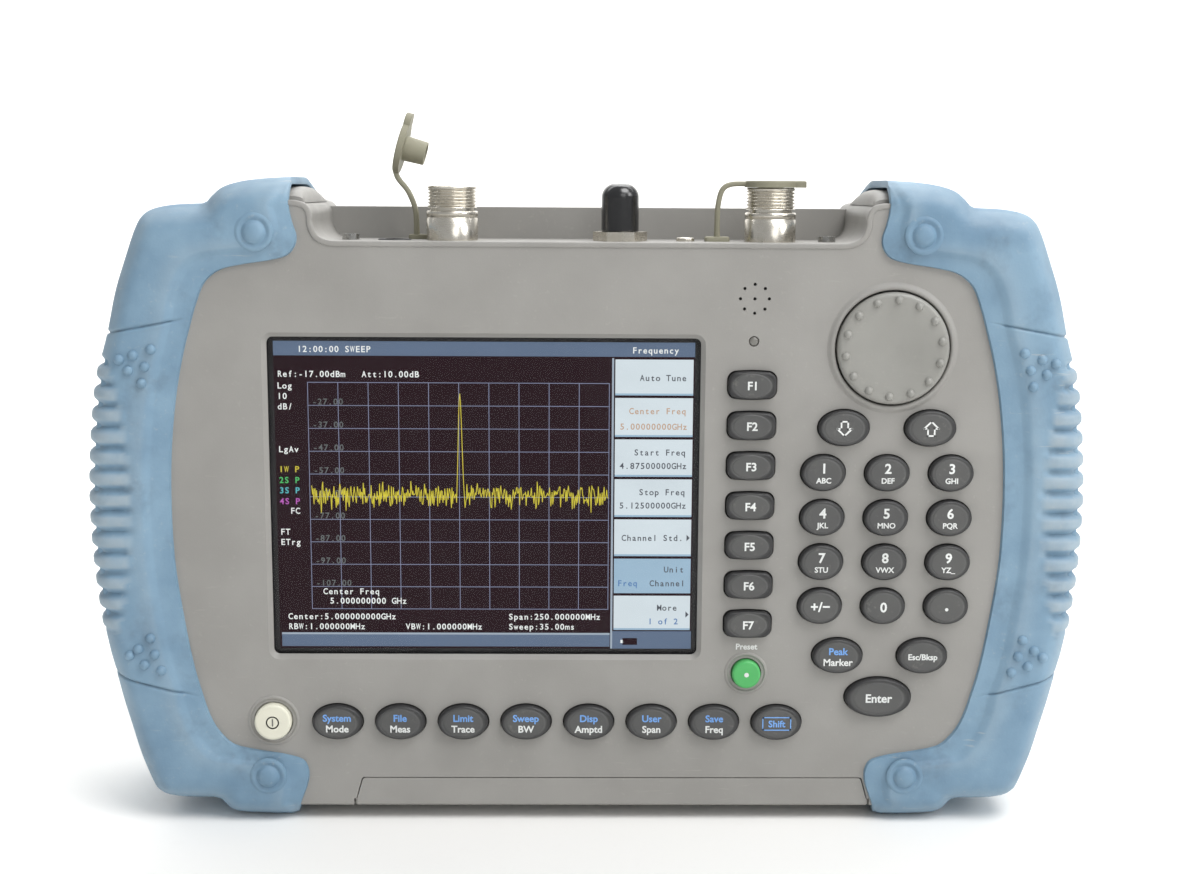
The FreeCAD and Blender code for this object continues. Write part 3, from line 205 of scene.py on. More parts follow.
class Shader:
    """One material with a Principled shader, and the nodes that feed it."""

    def __init__(self, name: str) -> None:
        """Makes the empty material.

        Args:
            name: The material's name.
        """
        self.material = bpy.data.materials.new(name)
        self.material.use_nodes = True
        self.tree = self.material.node_tree
        self.surface = self.tree.nodes["Principled BSDF"]

    def add(self, kind: str, settings: dict[str, object] | None = None,
            inputs: dict[object, object] | None = None) -> bpy.types.Node:
        """Adds one node of any type.

        Args:
            kind: The node's type.
            settings: Its own settings, set before anything else.
            inputs: Values or links of its sockets, by name or number.

        Returns:
            The node.
        """
        node = self.tree.nodes.new(kind)
        for name, value in (settings or {}).items():
            setattr(node, name, value)
        self.feed(node, inputs or {})
        return node

    def feed(self, node: bpy.types.Node, inputs: dict[object, object]) -> None:
        """Gives sockets of a node their values or links.

        Args:
            node: The node.
            inputs: Signals, sockets, colours or numbers, by socket name or number.
        """
        for name, value in inputs.items():
            socket = node.inputs[name]
            value = value.socket if isinstance(value, Signal) else value
            if isinstance(value, bpy.types.NodeSocket):
                self.tree.links.new(value, socket)
            elif socket.type == "RGBA":
                socket.default_value = (*value, 1.0)
            else:
                socket.default_value = value

    def place(self, stretch: Triple = EVEN) -> bpy.types.NodeSocket:
        """The place on the object, in metres.

        Args:
            stretch: What each direction is multiplied by.

        Returns:
            The place.
        """
        source = self.add("ShaderNodeTexCoord").outputs["Object"]
        settings = {"operation": "MULTIPLY"}
        return self.add("ShaderNodeVectorMath", settings, {0: source, 1: stretch}).outputs[0]

    def noise(self, size: float, detail: float = 3.0, stretch: Triple = EVEN) -> Signal:
        """Soft random patches.

        Args:
            size: Rough size of one patch.
            detail: How much finer structure there is.
            stretch: Above 1 makes the patches narrower in that direction.

        Returns:
            A signal round 0.5.
        """
        inputs = {"Vector": self.place(stretch), "Scale": 1 / (size * MM), "Detail": detail}
        return Signal(self, self.add("ShaderNodeTexNoise", None, inputs).outputs["Fac"])

    def cells(self, size: float) -> Signal:
        """The distance to the nearest of many scattered points, for pits and specks."""
        inputs = {"Vector": self.place(), "Scale": 1 / (size * MM)}
        return Signal(self, self.add("ShaderNodeTexVoronoi", None, inputs).outputs["Distance"])

    def painted(self, name: str) -> Signal:
        """A number that the mesh holds at each vertex."""
        node = self.add("ShaderNodeAttribute", {"attribute_name": name})
        return Signal(self, node.outputs["Fac"])

    def mix(self, share: object, under: object, over: object) -> bpy.types.NodeSocket:
        """Lays one colour over another.

        Args:
            share: How much of the upper colour shows, a signal or a number.
            under: The lower colour.
            over: The upper colour.

        Returns:
            The mixed colour.
        """
        node = self.add("ShaderNodeMix", {"data_type": "RGBA"}, {"Factor": share})
        sockets = [socket for socket in node.inputs if socket.type == "RGBA"]
        for socket, colour in zip(sockets, (under, over)):
            if isinstance(colour, bpy.types.NodeSocket):
                self.tree.links.new(colour, socket)
            else:
                socket.default_value = (*colour, 1.0)
        return [socket for socket in node.outputs if socket.type == "RGBA"][0]

    def bump(self, height: Signal, distance: float) -> None:
        """Raises the surface a little.

        Args:
            height: The relief, 0 to 1.
            distance: How high 1 stands.
        """
        inputs = {"Height": height, "Distance": distance * MM, "Strength": 1.0}
        self.feed(self.surface, {"Normal": self.add("ShaderNodeBump", None, inputs).outputs["Normal"]})


@dataclass(frozen=True)
class Moulded:
    """A moulded plastic or rubber with mottled colour, fine grain, dust and light scuffs."""

    name: str
    base: Colour
    shade: Colour
    dust: Colour = tint(196, 192, 182)
    patch: float = 28.0
    grain: float = 0.55
    relief: float = 0.035
    roughness: float = 0.52
    swing: float = 0.14
    dusty: float = 0.12
    scuffed: float = 0.10
    coat: float = 0.0
    coat_roughness: float = 0.25
    specular: float = 0.45
    patch_range: Point = (0.38, 0.66)
    speck: float = 1.6
    speck_range: Point = (0.60, 0.74)
    dusty_range: Point = (0.42, 0.62)
    scuff: float = 9.0
    scuff_range: Point = (0.66, 0.72)
    scuff_field: float = 40.0
    scuff_field_range: Point = (0.5, 0.6)
    pit_share: float = 0.3

    def colour(self, shader: Shader) -> bpy.types.NodeSocket:
        """Mottled colour with dust in specks and pale scuffs.

        Args:
            shader: The shader that takes the nodes.

        Returns:
            The colour.
        """
        patches = shader.noise(self.patch, 5.0).step(*self.patch_range)
        specks = shader.noise(self.speck, 4.0).step(*self.speck_range)
        specks = specks * shader.noise(self.patch * 0.6).step(*self.dusty_range)
        scuffs = shader.noise(self.scuff, 6.0, (1.0, 1.0, 9.0)).step(*self.scuff_range)
        scuffs = scuffs * shader.noise(self.scuff_field).step(*self.scuff_field_range)
        colour = shader.mix(patches, self.base, self.shade)
        colour = shader.mix(specks * self.dusty, colour, self.dust)
        return shader.mix(scuffs * self.scuffed, colour, self.dust)

    def make(self) -> bpy.types.Material:
        """Builds the material.

        Returns:
            The finished material.
        """
        shader = Shader(self.name)
        worn = shader.noise(self.patch * 0.5, 4.0)
        rough = (worn - 0.5) * (self.swing * 2) + self.roughness
        shader.feed(shader.surface, {"Base Color": self.colour(shader), "Roughness": rough.held(),
                                     "Specular IOR Level": self.specular, "Coat Weight": self.coat,
                                     "Coat Roughness": self.coat_roughness})
        pits = shader.cells(self.grain * 1.4) * self.pit_share
        shader.bump(shader.noise(self.grain, 2.0) * (1 - self.pit_share) + pits, self.relief)
        return shader.material


@dataclass(frozen=True)
class BumperRubber(Moulded):
    """Soft blue rubber: dull and mottled, with real stains, a pale tone on its ridges that is partly wear and
    partly painted highlight, and painted shade in its grooves and rib valleys.
    """

    rubbed: Colour = tint(160, 172, 179)
    soiled: Colour = tint(84, 101, 114)
    broken_range: Point = (0.30, 0.70)
    stain: float = 17.0
    stain_range: Point = (0.52, 0.70)
    fleck: float = 2.4
    fleck_range: Point = (0.30, 0.66)
    stained: float = 0.44
    soiling: float = 0.75
    rub_least: float = 0.5
    rub_swing: float = 0.35

    def colour(self, shader: Shader) -> bpy.types.NodeSocket:
        """Mottled blue with stains, pale ridges that are partly wear and partly painted highlight, and painted
        shade in the hollows.

        Args:
            shader: The shader that takes the nodes.

        Returns:
            The colour.
        """
        colour = super().colour(shader)
        broken = shader.noise(4.5, 3.0).step(*self.broken_range)
        stains = shader.noise(self.stain, 7.0).step(*self.stain_range)
        stains = stains * shader.noise(self.fleck, 5.0).step(*self.fleck_range)
        colour = shader.mix(stains * self.stained, colour, self.soiled)
        # painted shade: the grooves and rib valleys are darkened towards the stain tone, broken up by noise
        colour = shader.mix(shader.painted("hollow") * broken * self.soiling, colour, self.soiled)
        # partly wear, partly painted highlight: ridges, rims and rib crests are turned pale
        share = shader.painted("rub") * (broken * self.rub_swing + self.rub_least)
        return shader.mix(share, colour, self.rubbed)


@dataclass(frozen=True)
class KeyRubber(Moulded):
    """Charcoal key rubber, its edge darkened with painted shade, and a shallow bevel inside its edge."""

    # the painted shade colour at each key's edge
    rim: Colour = tint(40, 40, 41)
    skirt: Point = (0.70, 0.84)
    groove_outer: Point = (0.80, 0.74)
    groove_inner: Point = (0.66, 0.72)
    groove_depth: float = 0.16
    wear: float = 1.1

    def make(self) -> bpy.types.Material:
        """Builds the material. The bevel follows each key's own outline.

        Returns:
            The finished material.
        """
        shader = Shader(self.name)
        generated = shader.add("ShaderNodeTexCoord").outputs["Generated"]
        middle = {0: generated, 1: (0.5, 0.5, 0.5)}
        shifted = shader.add("ShaderNodeVectorMath", {"operation": "SUBTRACT"}, middle)
        level = {0: shifted.outputs[0], 1: (2, 0, 2)}
        flat = shader.add("ShaderNodeVectorMath", {"operation": "MULTIPLY"}, level)
        length = shader.add("ShaderNodeVectorMath", {"operation": "LENGTH"}, {0: flat.outputs[0]})
        reach = Signal(shader, length.outputs["Value"])
        groove = reach.step(*self.groove_inner) * reach.step(*self.groove_outer)
        # painted shade: each key darkens towards its edge
        colour = shader.mix(reach.step(*self.skirt), self.colour(shader), self.rim)
        rough = shader.noise(self.wear, 4.0) * 0.25 + (self.roughness - 0.12)
        shader.feed(shader.surface, {"Base Color": colour, "Roughness": rough.held(),
                                     "Specular IOR Level": self.specular, "Coat Weight": self.coat})
        shader.bump(shader.noise(self.grain, 2.0) * 0.25 - groove + 1.0, self.groove_depth)
        return shader.material


@dataclass(frozen=True)
class Metal:
    """A plated or turned metal with fine tool marks and dull spots."""

    name: str
    base: Colour
    shade: Colour
    roughness: float = 0.24
    marks: Triple = (1.0, 1.0, 30.0)
    relief: float = 0.003
    dull_spot: float = 4.5
    dull_range: Point = (0.30, 0.80)
    swing: float = 0.10

    def make(self) -> bpy.types.Material:
        """Builds the material.

        Returns:
            The finished material.
        """
        shader = Shader(self.name)
        dull = shader.noise(self.dull_spot, 2.0).step(*self.dull_range)
        lines = shader.noise(2.2, 3.0, self.marks)
        rough = dull * self.swing + lines * self.swing + (self.roughness - 0.06)
        shader.feed(shader.surface, {"Base Color": shader.mix(dull, self.base, self.shade), "Metallic": 1.0,
                                     "Roughness": rough.held()})
        shader.bump(lines, self.relief)
        return shader.material


@dataclass(frozen=True)
class Lit:
    """A colour of the lit screen, a little uneven over the panel."""

    name: str
    light: Colour
    strength: float = 1.0
    patch: float = 38.0
    least: float = 0.55

    def make(self) -> bpy.types.Material:
        """Builds the material.

        Returns:
            The finished material.
        """
        shader = Shader(self.name)
        uneven = shader.noise(self.patch, 2.0)
        glow = (uneven * 0.22 + 0.82).held()
        dark = tuple(share * self.least for share in self.light)
        shader.feed(shader.surface, {"Base Color": (0.004, 0.004, 0.005), "Specular IOR Level": 0.1,
                                     "Emission Color": shader.mix(glow, dark, self.light),
                                     "Emission Strength": self.strength,
                                     "Roughness": (uneven * 0.1 + 0.4)})
        return shader.material


@dataclass(frozen=True)
class ClearWindow:
    """The clear window over the screen: glossy, faintly smoked and lightly smeared."""

    name: str = "clear_window"
    alpha: float = 0.04
    glass: Colour = (0.02, 0.021, 0.024)
    smear_range: Point = (0.40, 0.75)

    def make(self) -> bpy.types.Material:
        """Builds the material.

        Returns:
            The finished material.
        """
        shader = Shader(self.name)
        smear = shader.noise(24.0, 5.0, (1.0, 1.0, 2.5)).step(*self.smear_range)
        shader.feed(shader.surface, {"Base Color": self.glass, "Roughness": smear * 0.12 + 0.04,
                                     "Alpha": smear * 0.03 + self.alpha, "IOR": 1.49})
        return shader.material


@dataclass(frozen=True)
class Board:
    """Green circuit board with tinned spots."""

    name: str = "circuit_board"
    lacquer: Colour = tint(18, 70, 42)
    copper_shade: Colour = tint(30, 96, 58)
    tin: Colour = tint(196, 192, 180)
    dot_range: Point = (0.10, 0.06)

    def make(self) -> bpy.types.Material:
        """Builds the material.

        Returns:
            The finished material.
        """
        shader = Shader(self.name)
        tracks = shader.cells(2.4).step(*self.dot_range)
        weave = shader.noise(0.8, 2.0)
        colour = shader.mix(shader.noise(9.0, 4.0), self.lacquer, self.copper_shade)
        shader.feed(shader.surface, {"Base Color": shader.mix(tracks, colour, self.tin),
                                     "Metallic": tracks * 0.9, "Roughness": weave * 0.2 + 0.28})
        shader.bump(weave * 0.3 + tracks, 0.05)
        return shader.material


PLAIN = dict(dusty=0.05, scuffed=0.05)
FINISHES = {
    "housing": Moulded("grey_case", tint(150, 148, 144), tint(143, 141, 137), grain=0.5, relief=0.03),
    "knob": Moulded("knob_grey", tint(147, 146, 141), tint(138, 137, 132), grain=0.5, relief=0.02,
                    roughness=0.38, scuffed=0.06, specular=0.55),
    "bumper": BumperRubber("bumper_blue", tint(126, 155, 176), tint(106, 136, 159), patch=22.0, grain=0.7,
                           relief=0.05, roughness=0.54, swing=0.10, dusty=0.20, scuffed=0.30, specular=0.45),
    "key_rubber": KeyRubber("key_charcoal", tint(82, 82, 81), tint(74, 74, 74), grain=0.35, relief=0.02,
                            roughness=0.46, dusty=0.10, scuffed=0.0, specular=0.5),
    "power_key": Moulded("power_cream", tint(221, 219, 202), tint(211, 208, 191), grain=0.4, relief=0.015,
                         roughness=0.42, **PLAIN),
    "preset_key": Moulded("preset_green", tint(88, 184, 106), tint(74, 168, 92), grain=0.4, relief=0.015,
                          roughness=0.4, **PLAIN),
    "battery": Moulded("battery_wrap", tint(48, 49, 52), tint(40, 41, 44), roughness=0.45, **PLAIN),
    "clear_window": ClearWindow(),
    "panel": Moulded("panel_black", tint(20, 18, 20), tint(15, 14, 16), grain=0.3, relief=0.01,
                     roughness=0.4, **PLAIN),
    "silicone": Moulded("mat_rubber", tint(72, 72, 74), tint(62, 62, 64), **PLAIN),
    "board": Board(),
    "shield": Metal("tinned_shield", tint(196, 196, 192), tint(170, 170, 166), roughness=0.34),
    "dark_plastic": Moulded("black_plastic", tint(44, 44, 46), tint(36, 36, 38), roughness=0.48),
    "plated": Metal("plated_ring", tint(222, 218, 208), tint(196, 191, 180)),
    "nickel": Metal("turned_nickel", tint(226, 221, 210), tint(200, 194, 182), roughness=0.24),
    "cap_rubber": Moulded("olive_rubber", tint(142, 139, 120), tint(128, 125, 106), grain=0.4, relief=0.03,
                          roughness=0.6, dusty=0.16),
    "vinyl": Moulded("black_vinyl", tint(20, 20, 22), tint(13, 13, 15), grain=1.2, relief=0.006, roughness=0.2,
                     swing=0.05, specular=0.6, coat=0.4, **PLAIN),
    "screw_steel": Metal("zinc_screws", tint(178, 178, 176), tint(140, 140, 138), marks=(6.0, 6.0, 6.0)),
    "ink": Moulded("white_ink", tint(226, 228, 226), tint(212, 214, 212), grain=0.3, relief=0.004, **PLAIN),
    "blue_ink": Moulded("blue_ink", tint(118, 166, 226), tint(104, 152, 214), grain=0.3, relief=0.004, **PLAIN),
    "grey_ink": Moulded("grey_ink", tint(96, 96, 92), tint(84, 84, 82), grain=0.3, relief=0.004, **PLAIN),
    "lens": Moulded("smoked_lens", tint(120, 118, 112), tint(104, 102, 98), grain=0.8, relief=0.004,
                    roughness=0.16, coat=0.5, **PLAIN),
    "floor": Moulded("pale_floor", tint(250, 249, 247), tint(246, 245, 242), patch=600.0, grain=3.0,
                     relief=0.01, roughness=0.7, **PLAIN),
}


class Wardrobe:
    """Makes each finish once and dresses pieces in it."""

    def __init__(self) -> None:
        """Starts with nothing made."""
        self.made: dict[str, bpy.types.Material] = {}

    def material(self, name: str) -> bpy.types.Material:
        """The material of a finish or of a screen colour, made when first asked for.

        Args:
            name: The finish or the colour.

        Returns:
            The material.
        """
        if name not in self.made:
            self.made[name] = (FINISHES.get(name) or SCREEN_COLOURS[name]).make()
        return self.made[name]

    def dress_frame(self) -> None:
        """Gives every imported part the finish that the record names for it."""
        for part in frame["record"]["subparts"]:
            mesh = frame["nodes"][part["node"]].data
            mesh.materials.clear()
            mesh.materials.append(self.material(part["material_slot"]))
            log.info("dressed %s in %s", part["node"], part["material_slot"])


WARDROBE = Wardrobe()


# ---------------------------------------------------------------- meshes

class Form:
    """A mesh in the making. Points go in as millimetres."""

    rod_sides: int = 16
    rod_glance: float = 0.02
    rod_square: float = 0.5

    def __init__(self) -> None:
        """Starts empty."""
        self.mesh = bmesh.new()
        self.finish = 0

    def rows(self, rows: Sequence[Sequence[Vector]], around: bool = False,
             along: bool = False) -> list[list[bmesh.types.BMVert]]:
        """Joins rows of points into a surface.

        Args:
            rows: The rows, all of one length.
            around: Whether each row closes on itself.
            along: Whether the last row joins the first.

        Returns:
            The vertices, row by row.
        """
        verts = [[self.mesh.verts.new(point * MM) for point in row] for row in rows]
        count = len(verts[0])
        for index in range(len(verts) if along else len(verts) - 1):
            lower, upper = verts[index], verts[(index + 1) % len(verts)]
            for k in range(count if around else count - 1):
                after = (k + 1) % count
                self.face((lower[k], lower[after], upper[after], upper[k]))
        return verts

    def face(self, corners: Iterable[bmesh.types.BMVert]) -> None:
        """Adds one face in the current finish.

        Args:
            corners: Its corners in order.
        """
        made = self.mesh.faces.new(tuple(corners))
        made.material_index = self.finish
        made.smooth = True

    def tube(self, rows: Sequence[Sequence[Vector]]) -> None:
        """Joins closed rings and shuts both ends.

        Args:
            rows: The rings, all of one length.
        """
        verts = self.rows(rows, around=True)
        self.face(reversed(verts[0]))
        self.face(verts[-1])

    def turned(self, profile: Sequence[Point], centre: Vector, axis: Vector, steps: int = 64,
               change: Callable[[float, float, float], float] | None = None) -> None:
        """Turns a closed profile once round an axis.

        Args:
            profile: Distances from the axis and along it.
            centre: Where the axis starts.
            axis: The direction of the axis.
            steps: How many steps the turn takes.
            change: Gives the radius from a radius, a height and an angle.
        """
        first = axis.orthogonal().normalized()
        second = axis.cross(first)
        rows = []
        for step in range(steps):
            angle = math.tau * step / steps
            outward = first * math.cos(angle) + second * math.sin(angle)
            rows.append([centre + axis * up + outward * (change(radius, up, angle) if change else radius)
                         for radius, up in profile])
        self.rows(rows, around=True, along=True)

    def dome(self, profile: Sequence[Point], centre: Vector, axis: Vector, steps: int = 32) -> None:
        """Turns an open profile that ends on the axis, such as a rivet's head.

        Args:
            profile: Distances from the axis and along it, outside first. The last one is on the axis.
            centre: Where the axis starts.
            axis: The direction of the axis.
            steps: How many steps the turn takes.
        """
        first = axis.orthogonal().normalized()
        second = axis.cross(first)
        angles = [math.tau * step / steps for step in range(steps)]
        rings = [[centre + axis * up + (first * math.cos(a) + second * math.sin(a)) * radius for a in angles]
                 for radius, up in profile[:-1]]
        verts = self.rows(rings, around=True)
        tip = self.mesh.verts.new((centre + axis * profile[-1][1]) * MM)
        for k in range(steps):
            self.face((verts[-1][k], verts[-1][(k + 1) % steps], tip))
        self.face(reversed(verts[0]))

    def rod(self, path: Sequence[Point], depth: float, thickness: float, width: float, steps: int = 10,
            swell: float = 0.0) -> None:
        """A rounded strip along a path that lies parallel to the face.

        Args:
            path: The points that it passes through, across and up.
            depth: The depth of its middle.
            thickness: Its size across the path.
            width: Its size from front to back.
            steps: How many sections there are between two points.
            swell: How much wider it is where it starts.
        """
        rings = []
        count = (len(path) - 1) * steps
        for step in range(count + 1):
            place = step / steps
            here = Vector(through(path, place))
            ahead = Vector(through(path, min(place + self.rod_glance, len(path) - 1)))
            behind = Vector(through(path, max(place - self.rod_glance, 0)))
            way = (ahead - behind).normalized()
            side = Vector((-way.y, way.x))
            grown = 1 + swell * ease(place, 1.0, 0.0)
            ring = []
            for k in range(self.rod_sides):
                angle = math.tau * (k + 0.5) / self.rod_sides
                flat, tall = math.cos(angle), math.sin(angle)
                across = math.copysign(abs(flat) ** self.rod_square, flat) * thickness / 2 * grown
                deep = math.copysign(abs(tall) ** self.rod_square, tall) * width / 2 * grown
                spot = here + side * across
                ring.append(Vector((spot.x, depth + deep, spot.y)))
            rings.append(ring)
        self.tube(rings)

    def slab(self, outline: Sequence[Point], front: float, back: float) -> None:
        """A flat plate parallel to the face.

        Args:
            outline: Its corners across and up.
            front: The depth of its front.
            back: The depth of its back.
        """
        self.tube([[Vector((x, depth, z)) for x, z in outline] for depth in (back, front)])

    def stroke(self, points: Sequence[Point], width: float, front: float, back: float,
               closed: bool = False) -> None:
        """A drawn line of even width, made of short plates.

        Args:
            points: The line's points across and up.
            width: How wide the line is.
            front: The depth of its front.
            back: The depth of its back.
            closed: Whether the last point joins the first.
        """
        ends = list(points[1:]) + ([points[0]] if closed else [])
        for (x0, z0), (x1, z1) in zip(points, ends):
            length = math.hypot(x1 - x0, z1 - z0) or 1.0
            ax, az = (x1 - x0) / length * width / 2, (z1 - z0) / length * width / 2
            self.slab([(x0 - ax - az, z0 - az + ax), (x0 - ax + az, z0 - az - ax),
                       (x1 + ax + az, z1 + az - ax), (x1 + ax - az, z1 + az + ax)], front, back)

    def piece(self, name: str, finishes: Sequence[str], body: str | None = "root", sharp: float = 32.0,
              slot: str | None = None) -> bpy.types.Object:
        """Turns the form into a piece of the model.

        Args:
            name: The piece's name.
            finishes: Its finishes, in the order of their numbers.
            body: The body it rides on, or None for a piece that bends.
            sharp: Edges that turn by more degrees than this stay sharp.
            slot: The record's material slot, if the piece has one. Not used.

        Returns:
            The new object.
        """
        bmesh.ops.recalc_face_normals(self.mesh, faces=self.mesh.faces)
        data = bpy.data.meshes.new(name)
        self.mesh.to_mesh(data)
        self.mesh.free()
        data.set_sharp_from_angle(angle=math.radians(sharp))
        for finish in finishes:
            data.materials.append(WARDROBE.material(finish))
        made = bpy.data.objects.new(name, data)
        bpy.context.scene.collection.objects.link(made)
        if body:
            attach(made, body)
        log.info("built %s with %d faces", name, len(data.polygons))
        return made


class Glyphs:
    """Cuts letters out of the built-in typeface, each string once."""

    thin: float = 0.015
    film: float = 0.02
    fill: float = 0.88
    half_capital: float = 0.35

    def __init__(self) -> None:
        """Starts with nothing cut."""
        self.cut: dict[tuple[str, float], bpy.types.Mesh] = {}

    def outline(self, text: str, weight: float) -> bpy.types.Mesh:
        """The flat mesh of a string at size 1, standing on its baseline round its middle.

        Args:
            text: The string.
            weight: How much each stroke is thickened.

        Returns:
            The mesh.
        """
        if (text, weight) not in self.cut:
            curve = bpy.data.curves.new("letters", "FONT")
            curve.body = text
            curve.align_x = "CENTER"
            curve.offset = weight
            curve.resolution_u = 3
            holder = bpy.data.objects.new("letters", curve)
            bpy.context.scene.collection.objects.link(holder)
            graph = bpy.context.evaluated_depsgraph_get()
            self.cut[text, weight] = bpy.data.meshes.new_from_object(holder.evaluated_get(graph))
            bpy.data.objects.remove(holder)
        return self.cut[text, weight]

    def write(self, form: Form, text: str, across: float, up: float, size: float, front: float,
              thickness: float = 0.04, weight: float = 0.024, stretch: float = 1.0) -> None:
        """Writes one line of text on a surface that faces the user.

        Args:
            form: The form that takes the letters.
            text: The line.
            across: The line's middle.
            up: The middle of its capitals.
            size: The size of the type.
            front: The depth of the letters' faces.
            thickness: How far they reach back from there.
            weight: How much each stroke is thickened.
            stretch: How much wider or narrower than normal the letters are.
        """
        mesh = self.outline(text, weight)
        base = up - self.half_capital * size
        for polygon in mesh.polygons:
            corners = [mesh.vertices[index].co for index in polygon.vertices]
            outline = [(across + c.x * size * stretch, base + c.y * size) for c in corners]
            form.slab(outline, front, front + thickness)

    def typed(self, form: Form, text: str, across: float, up: float, pitch: float, size: float,
              front: float) -> None:
        """Writes text from its left end, each sign in a cell of even width.

        Args:
            form: The form that takes the letters.
            text: The line.
            across: Its left end.
            up: The middle of its capitals.
            pitch: The width of one cell.
            size: The size of the type.
            front: The depth of the letters' faces.
        """
        for index, sign in enumerate(text):
            if sign != " ":
                width = 2 * max(vertex.co.x for vertex in self.outline(sign, self.thin).vertices) * size
                stretch = min(1.0, self.fill * pitch / width)
                middle = across + pitch * (index + 0.5)
                self.write(form, sign, middle, up, size, front, self.film, self.thin, stretch)


GLYPHS = Glyphs()


# ---------------------------------------------------------------- bumpers

class Side(Enum):
    """Which side of the case a bumper is on."""

    LEFT = -1
    RIGHT = 1


@dataclass
class Bumper:
    """A rubber bumper: a thick skin that wraps the case's side from the face to the back.

    Each station pairs a point of the skin's edge on the face with a point of its outer rim, from the
    tip of the upper ear to the tip of the foot.
    """

    side: Side
    stations: tuple[tuple[float, float, float, float], ...] = (
        (92.3, 204.8, 93.0, 206.9), (92.6, 198.5, 101.5, 206.4), (91.6, 193.0, 109.0, 205.4),
        (90.4, 189.0, 114.5, 203.6), (91.0, 185.7, 117.8, 200.9), (93.4, 182.9, 120.5, 198.7),
        (98.5, 181.4, 129.0, 198.2), (106.8, 180.1, 135.0, 197.2), (113.5, 178.6, 139.0, 195.2),
        (117.5, 176.1, 141.6, 191.2), (119.9, 173.0, 144.9, 182.4), (121.9, 167.9, 148.6, 171.3),
        (123.3, 163.5, 151.6, 158.4), (126.7, 151.0, 154.5, 147.9), (129.2, 138.0, 156.4, 138.0),
        (131.0, 122.3, 158.1, 122.3), (131.7, 105.0, 159.0, 105.0), (131.2, 86.0, 158.5, 86.0),
        (128.9, 67.4, 156.7, 67.4), (126.3, 52.0, 154.8, 56.0), (123.6, 41.5, 153.2, 49.3),
        (122.4, 37.4, 151.0, 39.4), (120.4, 32.5, 148.6, 30.2), (117.5, 28.4, 146.0, 20.6),
        (113.7, 25.3, 142.2, 10.6), (106.6, 23.6, 140.2, 8.0), (98.0, 22.2, 137.0, 6.3),
        (92.2, 20.4, 131.7, 5.6), (90.4, 17.5, 121.8, 5.4), (90.2, 15.5, 119.8, 4.4),
        (90.3, 13.7, 117.0, 1.7), (91.0, 11.0, 113.5, 0.5), (92.0, 8.4, 106.0, 0.0),
        (93.0, 5.6, 98.0, 0.0), (94.2, 1.4, 95.0, 0.0),
    )
    groove_stations: tuple[float, ...] = (12.0, 20.0)
    band_width: float = 5.8
    band_slope: float = 3.6
    band_lift: float = 1.2
    face_sunk: float = 0.8
    rim_radius: float = 8.5
    rim_depth: float = 12.0
    skin: float = 2.6
    rib_pitch: float = 6.7
    rib_low: float = 62.5
    rib_high: float = 152.5
    rib_depth: float = 2.0
    rib_lift: float = 0.5
    ear_fall: float = 4.5
    crescent_middle: float = 106.0
    crescent_near: float = 143.6
    crescent_bow: float = 6.4
    groove_width: float = 0.5
    groove_depth: float = 0.75
    groove_offsets: tuple[float, ...] = (0.0, 0.25, 0.5, 0.8, 1.2, 1.8)
    groove_spacing: float = 13.0
    bump_radius: float = 1.6
    bump_rise: float = 1.5
    upper_bumps: tuple[Point, ...] = ((145.6, 150.6), (141.3, 151.9), (135.7, 153.8), (142.9, 147.2),
                                      (137.8, 148.4), (138.9, 143.3))
    lower_bumps: tuple[Point, ...] = ((139.2, 61.5), (143.1, 58.0), (146.0, 55.9), (138.0, 56.2),
                                      (141.3, 52.9), (136.1, 50.9))
    studs: tuple[Point, ...] = ((103.0, 190.1), (103.0, 15.7))
    stud: tuple[Point, ...] = ((6.0, -0.6), (5.9, 0.0), (5.3, 0.35), (4.9, 0.4), (4.5, 0.28), (4.0, 0.05),
                               (3.7, 0.0), (3.5, 0.15), (3.3, 0.55), (2.8, 1.05), (2.1, 1.4), (1.2, 1.62),
                               (0.0, 1.7))
    rear_step: float = 3.0
    plain_step: float = 1.3
    ribbed_step: float = 0.75
    ribbed_margin: Point = (8.0, 12.0)
    band_share: float = 0.28
    rim_share: float = 0.6
    crown: float = 0.5
    inner_share: float = 0.85
    inner_gap: float = 0.9
    tuck: float = 0.1
    # a pale tone on the crease, the rim, the sides and the rib crests: partly wear, partly painted highlight
    band_rub: float = 0.25
    rim_rub: float = 0.35
    side_rub: float = 0.1
    rib_rub: float = 0.9
    rub_outer: Point = (6.5, 3.5)
    rub_inner: Point = (0.0, 1.6)
    ear_depths: Point = (2.0, 30.0)
    ear_heights: Point = (196.0, 206.0)
    groove_starts: Point = (3, 5)
    # painted shade: how dark the step grooves and the rib valleys are painted
    groove_dirt: float = 0.8
    valley_power: float = 2.2
    valley_dirt: float = 0.7

    def build(self) -> bpy.types.Object:
        """Builds the skin, its bumps and its studs as one piece.

        Returns:
            The bumper.
        """
        node = f"{self.side.name.lower()}_bumper"
        low, high = box_mm(node)
        self.front, self.back = low.y + self.face_sunk, high.y - self.face_sunk
        self.case_front = box_mm("front_housing")[0].y
        self.case_back = box_mm("rear_housing")[1].y - self.rear_step
        form = Form()
        outer = self.lay_skin(form)
        self.press_detail(form, outer)
        self.add_studs(form)
        if self.side is Side.LEFT:
            bmesh.ops.scale(form.mesh, vec=(-1, 1, 1), verts=form.mesh.verts)
        made = form.piece(f"{node}_skin", ["bumper"], slot="bumper", sharp=50.0)
        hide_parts(node)
        return made

